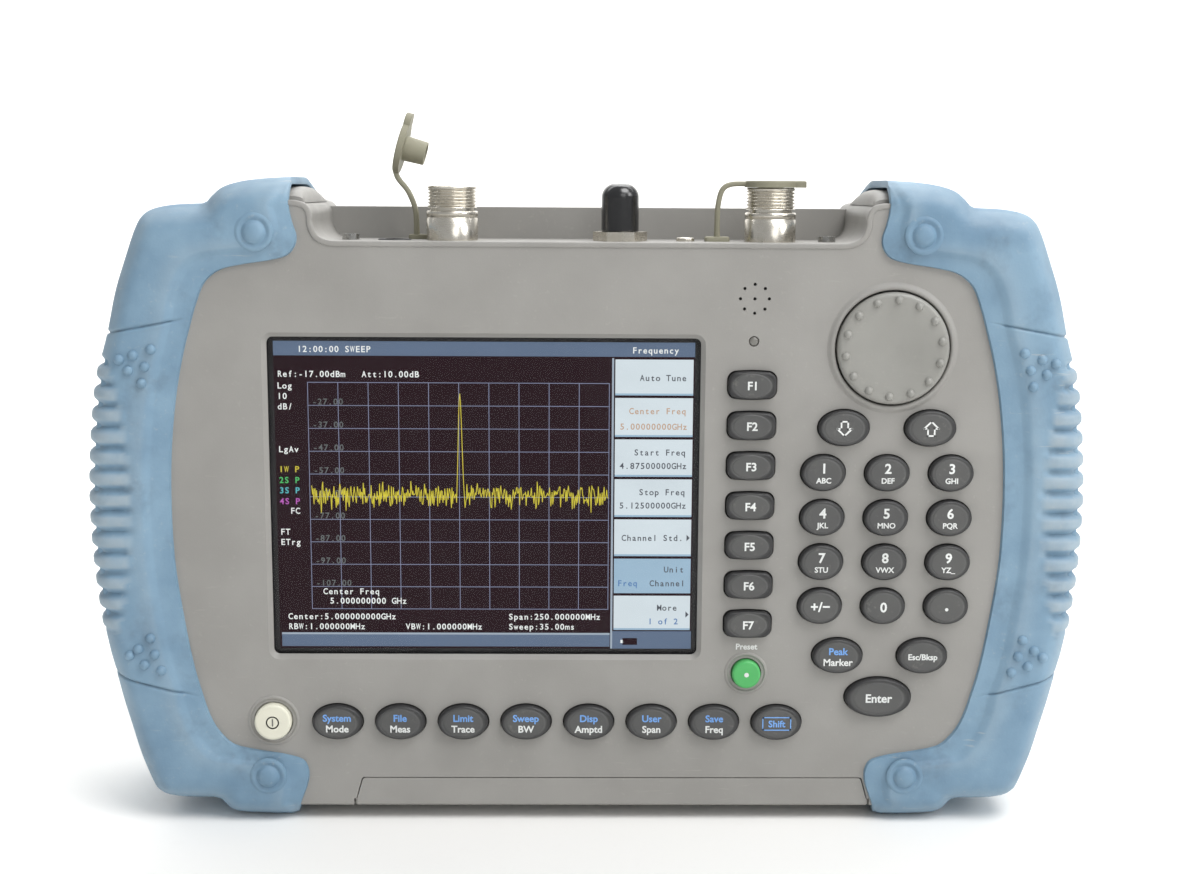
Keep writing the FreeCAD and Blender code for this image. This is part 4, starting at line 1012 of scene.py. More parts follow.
    def places(self) -> list[float]:
        """Where the sections are taken: closer together where there are ribs and grooves.

        Returns:
            The places, counted in stations.
        """
        found = []
        for index in range(len(self.stations) - 1):
            here, after = self.stations[index], self.stations[index + 1]
            length = math.hypot(after[2] - here[2], after[3] - here[3])
            length = max(length, math.hypot(after[0] - here[0], after[1] - here[1]))
            before, beyond = self.ribbed_margin
            ribbed = self.rib_low - before < here[3] < self.rib_high + beyond
            count = max(2, round(length / (self.ribbed_step if ribbed else self.plain_step)))
            found += [index + step / count for step in range(count)]
        nearby = self.groove_offsets[-1] / self.groove_spacing
        found = [place for place in found if min(abs(place - s) for s in self.groove_stations) > nearby]
        for station in self.groove_stations:
            found += [station + way * offset / self.groove_spacing for offset in self.groove_offsets
                      for way in ((-1, 1) if offset else (1,))]
        return sorted(found) + [len(self.stations) - 1.0]

    def section(self, width: float, rim_gap: Callable[[float], float]) -> list[Triple]:
        """The skin's outside in one section.

        Args:
            width: The distance from the edge on the face to the rim.
            rim_gap: The distance to the nearest rim from a place along the section.

        Returns:
            Distance from the edge, depth and the weight of the pale tone, partly wear and partly painted
            highlight, for each point, from the face to the back.
        """
        band = min(self.band_width, self.band_share * width)
        corner = min(self.rim_radius, self.rim_share * width)
        flat = width - corner
        drop = self.case_front - self.front - self.band_lift - self.crown
        along = [0.0, 0.12, 0.35, band * 0.5]
        along += [band + self.band_slope * share for share in (0, 0.15, 0.35, 0.65, 1)]
        along = [min(place, flat * (k + 1) / 12) for k, place in enumerate(along)]
        along += [along[-1] + (flat - along[-1]) * k / 5 for k in range(1, 5)]
        along += [width - corner * (1 - math.sin(math.pi / 2 * k / 9)) for k in range(10)]
        face = []
        for place in along:
            lift = self.band_lift * ease(place, -0.02, 0.4) + self.crown * ease(place, 0.3, band)
            lift += drop * ease(place, band - 0.4, band + self.band_slope)
            gap = max(0.0, min(self.rim_radius, rim_gap(place)))
            turn = 1 - math.sqrt(max(0.0, 1 - (1 - gap / self.rim_radius) ** 2))
            # pale tone on the crease beyond the band and on the rounded rim: partly wear, partly painted
            # highlight
            rub = ease(place, band + 2.0, band + 3.6) * ease(place, band + 10, band + 4) * self.band_rub
            rub = max(rub, ease(gap, *self.rub_outer) * ease(gap, *self.rub_inner) * self.rim_rub)
            face.append((place, self.case_front - lift + turn * self.rim_depth, rub))
        middle = (self.front + self.back) / 2
        rim_front = face[-1][1]
        rounds = [(width, rim_front + (middle - rim_front) * 2 * k / 12, self.side_rub) for k in range(1, 12)]
        return face + rounds + [(place, 2 * middle - depth, rub) for place, depth, rub in reversed(face)]

    def lay_skin(self, form: Form) -> list[list[bmesh.types.BMVert]]:
        """Lays the outer and inner surface and closes the skin's edges.

        Args:
            form: The form that takes the skin.

        Returns:
            The vertices of the outer surface, section by section.
        """
        # two painted masks: a pale tone on crests that is partly wear and partly painted highlight, and painted
        # shade in the recesses
        wear_sheen_layer = form.mesh.verts.layers.float.new("rub")
        form.mesh.verts.layers.float.new("hollow")
        places = self.places()
        rim = np.array([through(self.stations, place)[2:] for place in places])
        outside, inside, wear_sheens = [], [], []
        for place in places:
            edge_x, edge_z, rim_x, rim_z = through(self.stations, place)
            edge = Vector((edge_x, 0, edge_z))
            across = Vector((rim_x, 0, rim_z)) - edge
            width = across.length
            direction = across / width

            def rim_gap(distance: float) -> float:
                """The distance to the nearest rim.

                Args:
                    distance: How far the place is from the skin's edge.

                Returns:
                    The distance in millimetres.
                """
                spot = edge + direction * distance
                return float(np.hypot(rim[:, 0] - spot.x, rim[:, 1] - spot.z).min())

            points = self.section(width, rim_gap)
            inner_width = width - min(self.skin, self.inner_share * width)
            outside.append([self.settle(edge + direction * far + Vector((0, depth, 0)))
                            for far, depth, _ in points])
            inside.append([self.settle(edge + direction * min(far, inner_width)
                                       + Vector((0, self.under(depth), 0)))
                           for far, depth, _ in points])
            wear_sheens.append([rub for _, _, rub in points])
        outer = form.rows(outside)
        inner = form.rows(inside)
        for row, marks in zip(outer, wear_sheens):
            for vert, rub in zip(row, marks):
                vert[wear_sheen_layer] = rub
        for last in (0, -1):
            for index in range(len(outer) - 1):
                after = index + 1
                form.face((outer[index][last], outer[after][last], inner[after][last], inner[index][last]))
            for k in range(len(outer[0]) - 1):
                form.face((outer[last][k], outer[last][k + 1], inner[last][k + 1], inner[last][k]))
        return outer

    def settle(self, point: Vector) -> Vector:
        """Lowers a point of the ear towards the back, where its arch falls to the case."""
        fall = self.ear_fall * ease(point.y, *self.ear_depths) * ease(point.z, *self.ear_heights)
        return point - Vector((0, 0, fall))

    def under(self, depth: float) -> float:
        """The depth of the skin's inside behind a point of its outside.

        Args:
            depth: The depth of the point on the outside.

        Returns:
            The depth of the inside.
        """
        if depth < 0:
            return max(depth + self.inner_gap, self.case_front - self.tuck)
        return min(depth - self.inner_gap, self.case_back + self.tuck)

    def press_detail(self, form: Form, outer: list[list[bmesh.types.BMVert]]) -> None:
        """Presses the ribs, the crescent round them and the step grooves into the outer surface, and paints
        shade into the grooves and rib valleys and a pale tone on the rib crests.

        Args:
            form: The form that holds the skin.
            outer: The vertices of the outer surface, section by section.
        """
        bmesh.ops.recalc_face_normals(form.mesh, faces=form.mesh.faces)
        form.mesh.normal_update()
        hollow_layer = form.mesh.verts.layers.float["hollow"]
        wear_sheen_layer = form.mesh.verts.layers.float["rub"]
        places = self.places()
        moves = []
        for place, row in zip(places, outer):
            groove = max(self.groove_at(place, station) for station in self.groove_stations)
            for k, vert in enumerate(row):
                x, z = vert.co.x / MM, vert.co.z / MM
                reach = ease(min(k, len(row) - 1 - k), *self.groove_starts) * groove
                rib = self.rib_at(x, z)
                push = self.groove_depth * reach + rib
                moves.append((vert, vert.normal * (-push * MM)))
                # painted shade: the step grooves and the rib valleys are marked to be painted darker
                valley = ease(rib, self.valley_dirt, self.rib_depth + 0.3)
                vert[hollow_layer] = min(1.0, reach * self.groove_dirt + valley)
                # partly wear, partly painted highlight: the rib crests are painted pale
                if rib:
                    vert[wear_sheen_layer] = max(vert[wear_sheen_layer], self.rib_rub * ease(rib, 0.5, -self.rib_lift))
        for vert, move in moves:
            vert.co += move

    def groove_at(self, place: float, station: float) -> float:
        """How deep a step groove is at a section.

        Args:
            place: The section, counted in stations.
            station: Where the groove runs.

        Returns:
            Its share of the full depth, 0 to 1.
        """
        here, there = through(self.stations, place), through(self.stations, station)
        away = math.hypot(here[2] - there[2], here[3] - there[3]) / self.groove_width
        return math.exp(-away * away)

    def rib_at(self, across: float, up: float) -> float:
        """How far the ribbed field is pressed in at a place.

        Args:
            across: How far the place is from the case's middle.
            up: Its height.

        Returns:
            The depth in millimetres, below 0 on the ribs and 0 outside the field.
        """
        bow = (up - self.crescent_middle) / (self.rib_high - self.crescent_middle)
        near = self.crescent_near + self.crescent_bow * bow * bow
        field_share = ease(across, near, near + 1.6)
        field_share *= ease(up, self.rib_low, self.rib_low + 2.5) * ease(up, self.rib_high, self.rib_high - 2.5)
        valley = (0.5 + 0.5 * math.cos(math.tau * (up - self.rib_low) / self.rib_pitch)) ** self.valley_power
        return field_share * (self.rib_depth * valley - self.rib_lift)

    def add_studs(self, form: Form) -> None:
        """Sets the small bumps and the round studs on the skin.

        Args:
            form: The form that holds the skin.
        """
        skin = BVHTree.FromBMesh(form.mesh)
        dot = [(self.bump_radius, -0.4)]
        dot += [(self.bump_radius * math.cos(a), self.bump_rise * math.sin(a))
                for a in (k * math.pi / 14 for k in range(7))] + [(0, self.bump_rise)]
        groups = ((self.upper_bumps + self.lower_bumps, dot, 20), (self.studs, self.stud, 48))
        for spots, profile, steps in groups:
            for across, up in spots:
                for start, way in ((-1, 1), (1, -1)):
                    outside = Vector((across * MM, start, up * MM))
                    hit, normal, _, _ = skin.ray_cast(outside, Vector((0, way, 0)))
                    normal = normal if normal.y * way < 0 else -normal
                    form.dome([(radius, rise) for radius, rise in profile], hit / MM, normal, steps)


# ---------------------------------------------------------------- connectors and straps

@dataclass
class RfConnector:
    """A round threaded coaxial connector, with its thread cut as one long helix."""

    node: str
    barrel_height: float = 9.4
    thread_height: float = 8.0
    barrel: float = 8.3
    thread: float = 7.94
    socket: float = 4.4
    contact: float = 1.5
    pitch: float = 1.06
    thread_depth: float = 0.62
    tail: float = 2.2
    lug: float = 4.5
    ring_groove: float = 0.3
    thread_base: float = 0.9
    bore_depth: float = 9.0

    def cut_thread(self, radius: float, up: float, angle: float) -> float:
        """The radius of the threaded part at a height and an angle.

        Args:
            radius: The radius before the thread is cut.
            up: The height, 0 at the connector's end.
            angle: The angle round the axis.

        Returns:
            The radius with the thread.
        """
        start, end = -self.thread_height + 1.0, -0.5
        if radius < self.thread - 0.01 or not start < up < end:
            return radius
        phase = (up / self.pitch - angle / math.tau) % 1.0
        ridge = abs(phase - 0.5) * 2
        fade = ease(up, start, start + 0.6) * ease(up, end, end - 0.6)
        return radius - self.thread_depth * fade * ease(ridge, 0.1, 0.9)

    def build(self) -> bpy.types.Object:
        """Builds the connector.

        Returns:
            The connector.
        """
        low, high = box_mm(self.node)
        centre = Vector(((low.x + high.x) / 2, (low.y + high.y) / 2, high.z))
        foot = -self.thread_height
        base = foot - self.barrel_height
        grooved, thread_foot = self.barrel - self.ring_groove, self.thread - self.thread_base
        outside = [(self.tail, low.z - high.z), (self.tail, base - self.lug),
                   (self.barrel - 2, base - self.lug), (self.barrel - 2, base),
                   (self.barrel, base), (self.barrel, base + 0.2), (self.barrel, foot - 2.4),
                   (grooved, foot - 2.2), (grooved, foot - 1.9), (self.barrel, foot - 1.7),
                   (self.barrel, foot - 0.35), (grooved, foot), (thread_foot, foot), (thread_foot, foot + 1)]
        count = round((self.thread_height - 1.4) / self.pitch * 8)
        outside += [(self.thread, foot + 1 + (self.thread_height - 1.4) * k / count) for k in range(count + 1)]
        inside = [(self.thread - 0.5, 0), (self.socket + 0.3, 0), (self.socket, -0.3),
                  (self.socket, -self.bore_depth), (self.contact, -self.bore_depth), (self.contact, -3.4),
                  (self.contact - 0.4, -3), (0.7, -3), (0.7, -6), (0.05, -6), (0.05, low.z - high.z)]
        form = Form()
        form.turned(outside + inside, centre, Vector((0, 0, 1)), 72, self.cut_thread)
        made = form.piece(f"{self.node}_turned", ["nickel"], slot="nickel", sharp=70.0)
        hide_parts(self.node)
        return made


@dataclass
class Strap:
    """A moulded rubber strap between its block in the trench and a dust cap."""

    name: str
    cap: str
    path: tuple[Point, ...]
    depth: float
    block: Point
    lift: tuple[Point, Point]
    thickness: float = 1.7
    width: float = 3.4
    block_half: float = 4.0
    block_reach: float = 2.5
    block_height: float = 1.6
    block_foot: float = -0.3
    block_corner: float = 1.0
    swell: float = 0.18

    def build(self) -> bpy.types.Object:
        """Builds the strap with its block and bends it between the case and its cap.

        Returns:
            The strap.
        """
        form = Form()
        form.rod(self.path, self.depth, self.thickness, self.width, swell=self.swell)
        self.add_block(form)
        made = form.piece(self.name, ["cap_rubber"], body=None, slot="cap_rubber", sharp=40.0)
        start, end = (Vector((x, self.depth, z)) * MM for x, z in self.lift)
        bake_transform(made, "root", self.cap, start=start, end=end)
        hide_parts("connector_cap_straps")
        return made

    def add_block(self, form: Form) -> None:
        """Adds the block that holds the strap in the trench.

        Args:
            form: The form that takes the block.
        """
        across, up = self.block
        top = self.block_height
        rings = []
        for height, inset in ((self.block_foot, 0.0), (top - 0.4, 0.0), (top - 0.1, 0.2), (top, 0.6)):
            outline = rounded_box(self.block_half - inset, self.block_reach - inset, self.block_corner)
            rings.append([Vector((across + x, self.depth + y, up + height)) for x, y in outline])
        form.tube(rings)


def rounded_box(half_width: float, half_tall: float, radius: float, steps: int = 5) -> list[Point]:
    """The outline of a rectangle with rounded corners, round the origin.

    Args:
        half_width: Half of its width.
        half_tall: Half of its height.
        radius: The radius of its corners.
        steps: Points for each corner.

    Returns:
        The points, anticlockwise.
    """
    points = []
    for corner, (sx, sz) in enumerate(((1, 1), (-1, 1), (-1, -1), (1, -1))):
        for k in range(steps):
            angle = math.pi / 2 * (corner + k / (steps - 1))
            points.append((sx * (half_width - radius) + radius * math.cos(angle),
                           sz * (half_tall - radius) + radius * math.sin(angle)))
    return points


# ---------------------------------------------------------------- knob and trim

@dataclass
class TuningKnob:
    """The tuning knob, dished and ringed with round dots, and the raised bezel round its well."""

    dots: int = 14
    dot_ring: float = 15.2
    dot_radius: float = 1.35
    dot_rise: float = 1.3
    edge_drop: float = 1.5
    dish: float = 1.5
    bezel_inner: float = 18.15
    bezel_outer: float = 20.6
    bezel_rise: float = 0.95
    bezel_wall: float = 1.3
    back: float = -3.4
    rim_inset: float = 0.4
    foot_bevel: float = 0.5
    dish_reach: float = 1.1
    dot_turn: float = 0.35
    dot_sink: float = 0.12
    dot_foot: float = -0.5

    def build(self) -> tuple[bpy.types.Object, bpy.types.Object]:
        """Builds the knob and the bezel.

        Returns:
            The two pieces.
        """
        low, high = box_mm("tuning_knob")
        self.face = box_mm("front_housing")[0].y
        self.radius = (high.x - low.x) / 2
        self.centre = Vector(((low.x + high.x) / 2, self.face, (low.z + high.z) / 2))
        self.toward = Vector((0, -1, 0))
        return self.build_knob(low.y + self.rim_inset), self.build_bezel()

    def build_knob(self, front: float) -> bpy.types.Object:
        """Builds the knob.

        Args:
            front: The depth of its rim.

        Returns:
            The knob.
        """
        rise = self.face - front
        crown = [(self.radius - self.foot_bevel, self.back), (self.radius, self.back + self.foot_bevel),
                 (self.radius, rise - self.edge_drop)]
        crown += [(self.radius - self.edge_drop * (1 - math.cos(a)), rise - self.edge_drop * (1 - math.sin(a)))
                  for a in (math.pi / 12 * k for k in range(1, 7))]
        inner = self.radius - self.edge_drop
        crown += [(inner * (1 - k / 12), rise - self.dish * ease(k / 12, 0.0, self.dish_reach))
                  for k in range(1, 12)]
        form = Form()
        form.dome(crown + [(0, rise - self.dish)], self.centre, self.toward, 96)
        ball = [(self.dot_radius, self.dot_foot)]
        ball += [(self.dot_radius * math.cos(a), self.dot_rise * math.sin(a))
                 for a in (math.pi / 14 * k for k in range(7))]
        for k in range(self.dots):
            angle = math.tau * (k + self.dot_turn) / self.dots
            spot = self.centre + Vector((math.cos(angle), 0, math.sin(angle))) * self.dot_ring
            spot += self.toward * (rise - self.dot_sink)
            form.dome(ball + [(0, self.dot_rise)], spot, self.toward, 24)
        knob = form.piece("tuning_knob_crown", ["knob"], "tuning_knob", slot="knob", sharp=50.0)
        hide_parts("tuning_knob")
        return knob

    def build_bezel(self) -> bpy.types.Object:
        """Builds the soft raised ring that frames the knob.

        Returns:
            The bezel.
        """
        inner, outer, rise, wall = self.bezel_inner, self.bezel_outer, self.bezel_rise, self.bezel_wall
        profile = [(inner + wall, -1.6), (inner, -1.5), (inner, rise - 0.5), (inner + 0.2, rise - 0.15),
                   (inner + 0.55, rise), (inner + 1.1, rise - 0.08), (inner + 1.6, rise * 0.6),
                   (outer - 0.55, rise * 0.22), (outer, 0.02), (outer, -0.3), (inner + wall, -0.3)]
        form = Form()
        form.turned(profile, self.centre, self.toward, 120)
        return form.piece("knob_bezel", ["housing"], slot="housing", sharp=60.0)


@dataclass
class TopTrim:
    """The grey lugs that fill the bumpers' ears, and the bead along the front edge of the trench."""

    lug_profile: tuple[Point, ...] = ((-27.2, 199.0), (-27.0, 201.0), (-24.5, 202.6), (-18.0, 203.6),
                                      (-8.0, 204.0), (2.0, 203.7), (10.0, 202.4), (16.5, 200.6), (18.5, 199.0))
    lug_stations: tuple[tuple[float, float], ...] = ((88.2, 0.02), (88.4, 0.35), (89.0, 0.66), (90.0, 0.88),
                                                     (91.5, 0.98), (93.5, 1.0), (108.0, 0.97))
    bead_path: tuple[Point, ...] = ((94.0, 199.3), (90.6, 199.2), (87.8, 198.2), (86.5, 195.4), (86.4, 192.8),
                                    (84.7, 189.0), (80.6, 187.1), (74.0, 186.9), (64.0, 186.9), (44.0, 186.9),
                                    (20.0, 186.9))
    bead_drop: float = 0.35
    bead_behind: float = 0.55
    bead_tall: float = 1.8
    bead_deep: float = 1.9
    lug_foot: float = 199.0

    def build(self) -> bpy.types.Object:
        """Builds the lugs and the bead as one piece.

        Returns:
            The trim.
        """
        form = Form()
        face = box_mm("front_housing")[0].y
        for side in Side:
            rings = []
            for across, height in self.lug_stations:
                rings.append([Vector((across * side.value, y, self.lug_foot + (z - self.lug_foot) * height))
                              for y, z in self.lug_profile])
            form.tube(rings)
        half = [(x, z - self.bead_drop) for x, z in self.bead_path]
        path = half + [(-x, z) for x, z in reversed(half)]
        form.rod(path, face + self.bead_behind, self.bead_tall, self.bead_deep, steps=6)
        return form.piece("top_trim", ["housing"], slot="housing", sharp=50.0)


# ---------------------------------------------------------------- legends

class Mark(Enum):
    """Signs on keys that aren't letters."""

    NONE = 0
    DOWN = 1
    UP = 2
    POWER = 3
    DOT = 4
    FRAME = 5


@dataclass(frozen=True)
class Legend:
    """What is printed on one key: white and light blue lines of text, or a sign."""

    key: str
    white: tuple[tuple[str, float, float], ...] = ()
    blue: tuple[tuple[str, float, float], ...] = ()
    mark: Mark = Mark.NONE
    clearance: float = 0.05
    thickness: float = 0.04
    power_radius: float = 1.9
    dot_radius: float = 0.75

    def build(self) -> bpy.types.Object:
        """Prints the legend just in front of its key.

        Returns:
            The legend.
        """
        low, high = box_mm(self.key)
        across, up = (low.x + high.x) / 2, (low.z + high.z) / 2
        front = low.y - self.clearance
        form = Form()
        for finish, lines in enumerate((self.white, self.blue)):
            form.finish = finish
            for text, rise, size in lines:
                GLYPHS.write(form, text, across, up + rise, size, front)
        form.finish = 0
        self.draw_mark(form, across, up, front)
        inks = ["grey_ink" if self.mark is Mark.POWER else "ink", "blue_ink"]
        return form.piece(f"legend_{self.key}", inks, self.key)

    def draw_mark(self, form: Form, across: float, up: float, front: float) -> None:
        """Draws the key's sign, if it has one.

        Args:
            form: The form that takes the sign.
            across: The key's middle.
            up: The key's middle.
            front: The depth of the sign's face.
        """
        back = front + self.thickness
        if self.mark in (Mark.DOWN, Mark.UP):
            way = 1 if self.mark is Mark.UP else -1
            arrow = [(0, 2.3), (2.3, 0.1), (1.05, 0.1), (1.05, -2.2), (-1.05, -2.2), (-1.05, 0.1), (-2.3, 0.1)]
            points = [(across + x, up + way * z) for x, z in arrow]
            form.stroke(points, 0.5, front, back, closed=True)
        elif self.mark is Mark.POWER:
            form.stroke(self.circle(self.power_radius, 32, across, up), 0.38, front, back, closed=True)
            form.stroke([(across, up - 1.0), (across, up + 1.0)], 0.42, front, back)
        elif self.mark is Mark.DOT:
            form.slab(self.circle(self.dot_radius, 24, across, up), front, back)
        elif self.mark is Mark.FRAME:
            form.finish = 1
            box = rounded_box(4.5, 2.1, 0.3)
            form.stroke([(across + x, up + z) for x, z in box], 0.34, front, back, closed=True)

    def circle(self, radius: float, steps: int, across: float, up: float) -> list[Point]:
        """Points round a circle.

        Args:
            radius: Its radius.
            steps: How many points it has.
            across: Its middle.
            up: Its middle.

        Returns:
            The points.
        """
        angles = [math.tau * k / steps for k in range(steps)]
        return [(across + radius * math.cos(a), up + radius * math.sin(a)) for a in angles]


def legends() -> list[Legend]:
    """The legend of every key.

    Returns:
        The legends.
    """
    made = [Legend(f"soft_key_{n}", white=((f"F{n}", 0.0, 3.7),)) for n in range(1, 8)]
    digits = ("one", "ABC"), ("two", "DEF"), ("three", "GHI"), ("four", "JKL"), ("five", "MNO"), \
        ("six", "PQR"), ("seven", "STU"), ("eight", "VWX"), ("nine", "YZ_")
    for number, (name, letters) in enumerate(digits, start=1):
        made.append(Legend(f"digit_key_{name}", white=((str(number), 1.7, 4.4), (letters, -2.2, 2.45))))
    made += [Legend("digit_key_sign", white=(("+/−", 0.1, 4.4),)),
             Legend("digit_key_zero", white=(("0", 0.0, 4.4),)),
             Legend("digit_key_point", white=((".", 1.2, 6.4),))]
    menus = ("mode", "System", "Mode"), ("measure", "File", "Meas"), ("trace", "Limit", "Trace"), \
        ("bandwidth", "Sweep", "BW"), ("amplitude", "Disp", "Amptd"), ("span", "User", "Span"), \
        ("frequency", "Save", "Freq")
    for name, upper, lower in menus:
        made.append(Legend(f"menu_key_{name}", white=((lower, -1.9, 3.2),), blue=((upper, 1.7, 3.2),)))
    made += [
        Legend("menu_key_shift", blue=(("Shift", 0.0, 3.1),), mark=Mark.FRAME),
        Legend("arrow_key_down", mark=Mark.DOWN), Legend("arrow_key_up", mark=Mark.UP),
        Legend("marker_key", white=(("Marker", -1.8, 3.2),), blue=(("Peak", 1.8, 3.2),)),
        Legend("escape_key", white=(("Esc/Bksp", 0.0, 2.7),)),
        Legend("enter_key", white=(("Enter", 0.0, 3.9),)),
        Legend("power_key", mark=Mark.POWER), Legend("preset_key", mark=Mark.DOT),
    ]
    return made


# ---------------------------------------------------------------- screen

SCREEN_COLOURS = {
    "lit_dark": Lit("lit_dark", tint(36, 15, 21), 1.0),
    "lit_bar": Lit("lit_bar", tint(106, 124, 150), 0.9),
    "lit_edge": Lit("lit_edge", tint(176, 190, 205), 0.9),
    "lit_grid": Lit("lit_grid", tint(150, 158, 190), 0.85),
    "lit_dim": Lit("lit_dim", tint(120, 126, 126), 0.75),
    "lit_white": Lit("lit_white", tint(238, 242, 240), 1.1),
    "lit_yellow": Lit("lit_yellow", tint(222, 208, 66), 1.0),
    "lit_green": Lit("lit_green", tint(90, 210, 120), 0.9),
    "lit_cyan": Lit("lit_cyan", tint(100, 206, 216), 0.9),
    "lit_magenta": Lit("lit_magenta", tint(208, 110, 208), 0.9),
    "lit_box": Lit("lit_box", tint(222, 234, 240), 1.0),
    "lit_blue_box": Lit("lit_blue_box", tint(164, 194, 216), 1.0),
    "lit_orange": Lit("lit_orange", tint(206, 172, 146), 0.95),
    "lit_grey": Lit("lit_grey", tint(92, 96, 104), 0.9),
    "lit_blue": Lit("lit_blue", tint(96, 140, 196), 0.9),
}


@dataclass
class Screen:
    """The lit picture, laid out on the panel's own raster of 640 by 480 dots from its upper left."""

    frame_lap: float = 4.0
    margin_across: float = 1.75
    margin_up: float = 1.5
    columns: int = 640
    rows: int = 480
    plot: tuple[float, float, float, float] = (51.0, 63.0, 510.0, 417.0)
    divisions: int = 10
    floor_row: float = 234.0
    peak_column: float = 282.0
    peak_row: float = 80.0
    peak_half: float = 6.0
    peak_flank: float = 150.0
    jitter: float = 7.5
    dips: tuple[int, ...] = (0, 0, 0, 12)
    seed: int = 12
    layer_gap: float = 0.012
    lowest_layer: float = 0.03
    rear: float = 0.005
    cell: int = 8
    type_size: float = 2.75
    grid_width: float = 0.2
    trace_width: float = 0.22
    colours: tuple[str, ...] = tuple(SCREEN_COLOURS)
    boxes: tuple[float, ...] = (24.0, 83.0, 147.0, 209.0, 272.0, 334.0, 393.0, 452.0)

    def build(self) -> bpy.types.Object:
        """Builds the picture as one thin piece just in front of the panel.

        Returns:
            The picture.
        """
        low, high = box_mm("display_module")
        self.left = low.x + self.frame_lap + self.margin_across
        self.right = high.x - self.frame_lap - self.margin_across
        self.low = low.z + self.frame_lap + self.margin_up
        self.high = high.z - self.frame_lap - self.margin_up
        self.front = low.y
        self.form = Form()
        self.random = random.Random(self.seed)
        self.fill("lit_dark", 0, 0, self.columns, self.rows, 0)
        self.draw_frame()
        self.draw_plot()
        self.draw_readings()
        self.draw_soft_boxes()
        return self.form.piece("screen_picture", self.colours, slot="panel")

    def at(self, column: float, row: float) -> Point:
        """A place of the raster, across and up."""
        return (self.left + (self.right - self.left) * column / self.columns,
                self.high - (self.high - self.low) * row / self.rows)

    def layer(self, level: int) -> tuple[float, float]:
        """The front and back depth of a layer of the picture."""
        return self.front - self.lowest_layer - self.layer_gap * level, self.front - self.rear

    def choose(self, colour: str) -> None:
        """Draws in this colour from now on."""
        self.form.finish = self.colours.index(colour)

    def fill(self, colour: str, left: float, top: float, right: float, bottom: float, level: int) -> None:
        """Fills a rectangle of the raster.

        Args:
            colour: The colour's name.
            left: First column.
            top: First row.
            right: Last column.
            bottom: Last row.
            level: The layer it lies on.
        """
        self.choose(colour)
        corners = [self.at(left, bottom), self.at(right, bottom), self.at(right, top), self.at(left, top)]
        self.form.slab(corners, *self.layer(level))

    def line(self, colour: str, points: Sequence[Point], width: float, level: int) -> None:
        """Draws a line through places of the raster.

        Args:
            colour: The colour's name.
            points: Columns and rows.
            width: The line's width in millimetres.
            level: The layer it lies on.
        """
        self.choose(colour)
        self.form.stroke([self.at(*point) for point in points], width, *self.layer(level))

    def text(self, colour: str, words: str, column: float, row: float, level: int = 4) -> None:
        """Writes a line of text from its left end.

        Args:
            colour: The colour's name.
            words: The text.
            column: Where it starts.
            row: The middle of its capitals.
            level: The layer it lies on.
        """
        self.choose(colour)
        across, up = self.at(column, row)
        pitch = (self.right - self.left) * self.cell / self.columns
        GLYPHS.typed(self.form, words, across, up, pitch, self.type_size, self.layer(level)[0])

    def draw_frame(self) -> None:
        """The title bar, the status bar and the line beside the soft-key boxes."""
        self.fill("lit_bar", 0, 0, self.columns, 22, 1)
        self.fill("lit_bar", 3, 457, 513, 477, 1)
        self.fill("lit_edge", 3, 455, 513, 458, 2)
        self.fill("lit_edge", 514, 24, 517, self.rows, 1)
        self.fill("lit_bar", 517, 452, self.columns, self.rows, 1)
        self.text("lit_white", "12:00:00 SWEEP", 36, 12)
        self.text("lit_white", "Frequency", 544, 12)
        self.fill("lit_dark", 533, 463, 556, 474, 2)
        self.fill("lit_white", 530, 466, 534, 471, 2)

    def draw_plot(self) -> None:
        """The graticule, its scale, the noise and the one clear peak."""
        left, top, right, bottom = self.plot
        for index in range(self.divisions + 1):
            column = left + (right - left) * index / self.divisions
            row = top + (bottom - top) * index / self.divisions
            self.line("lit_grid", ((column, top), (column, bottom)), self.grid_width, 1)
            self.line("lit_grid", ((left, row), (right, row)), self.grid_width, 1)
            if 0 < index < self.divisions:
                self.text("lit_dim", f"-{17 + 10 * index}.00", left + 6, row - 6, 2)
        points = []
        for column in range(int(left) + 3, int(right)):
            row = self.floor_row + self.random.gauss(0, self.jitter) + self.random.choice(self.dips)
            away = abs(column - self.peak_column)
            if away < self.peak_half:
                row = min(row, self.peak_row + self.peak_flank * ease(away, 0, self.peak_half))
            points.append((column, row))
        self.line("lit_yellow", points, self.trace_width, 3)

    def draw_readings(self) -> None:
        """The settings round the plot."""
        self.text("lit_white", "Ref:-17.00dBm   Att:10.00dB", 5, 50)
        for words, row in (("Log", 68), ("10", 84), ("dB/", 100), ("LgAv", 166), ("  FC", 262), ("FT", 295),
                           ("ETrg", 311)):
            self.text("lit_white", words, 4, row)
        for words, row, colour in (("1W P", 197, "lit_yellow"), ("2S P", 214, "lit_green"),
                                   ("3S P", 230, "lit_cyan"), ("4S P", 247, "lit_magenta")):
            self.text(colour, words, 4, row)
        self.text("lit_white", "Center Freq", 68, 389)
        self.text("lit_white", "5.000000000 GHz", 78, 404)
        self.text("lit_white", "Center:5.000000000GHz", 13, 429)
        self.text("lit_white", "Span:250.000000MHz", 355, 429)
        self.text("lit_white", "RBW:1.000000MHz", 13, 445)
        self.text("lit_white", "VBW:1.000000MHz", 195, 445)
        self.text("lit_white", "Sweep:35.00ms", 355, 445)

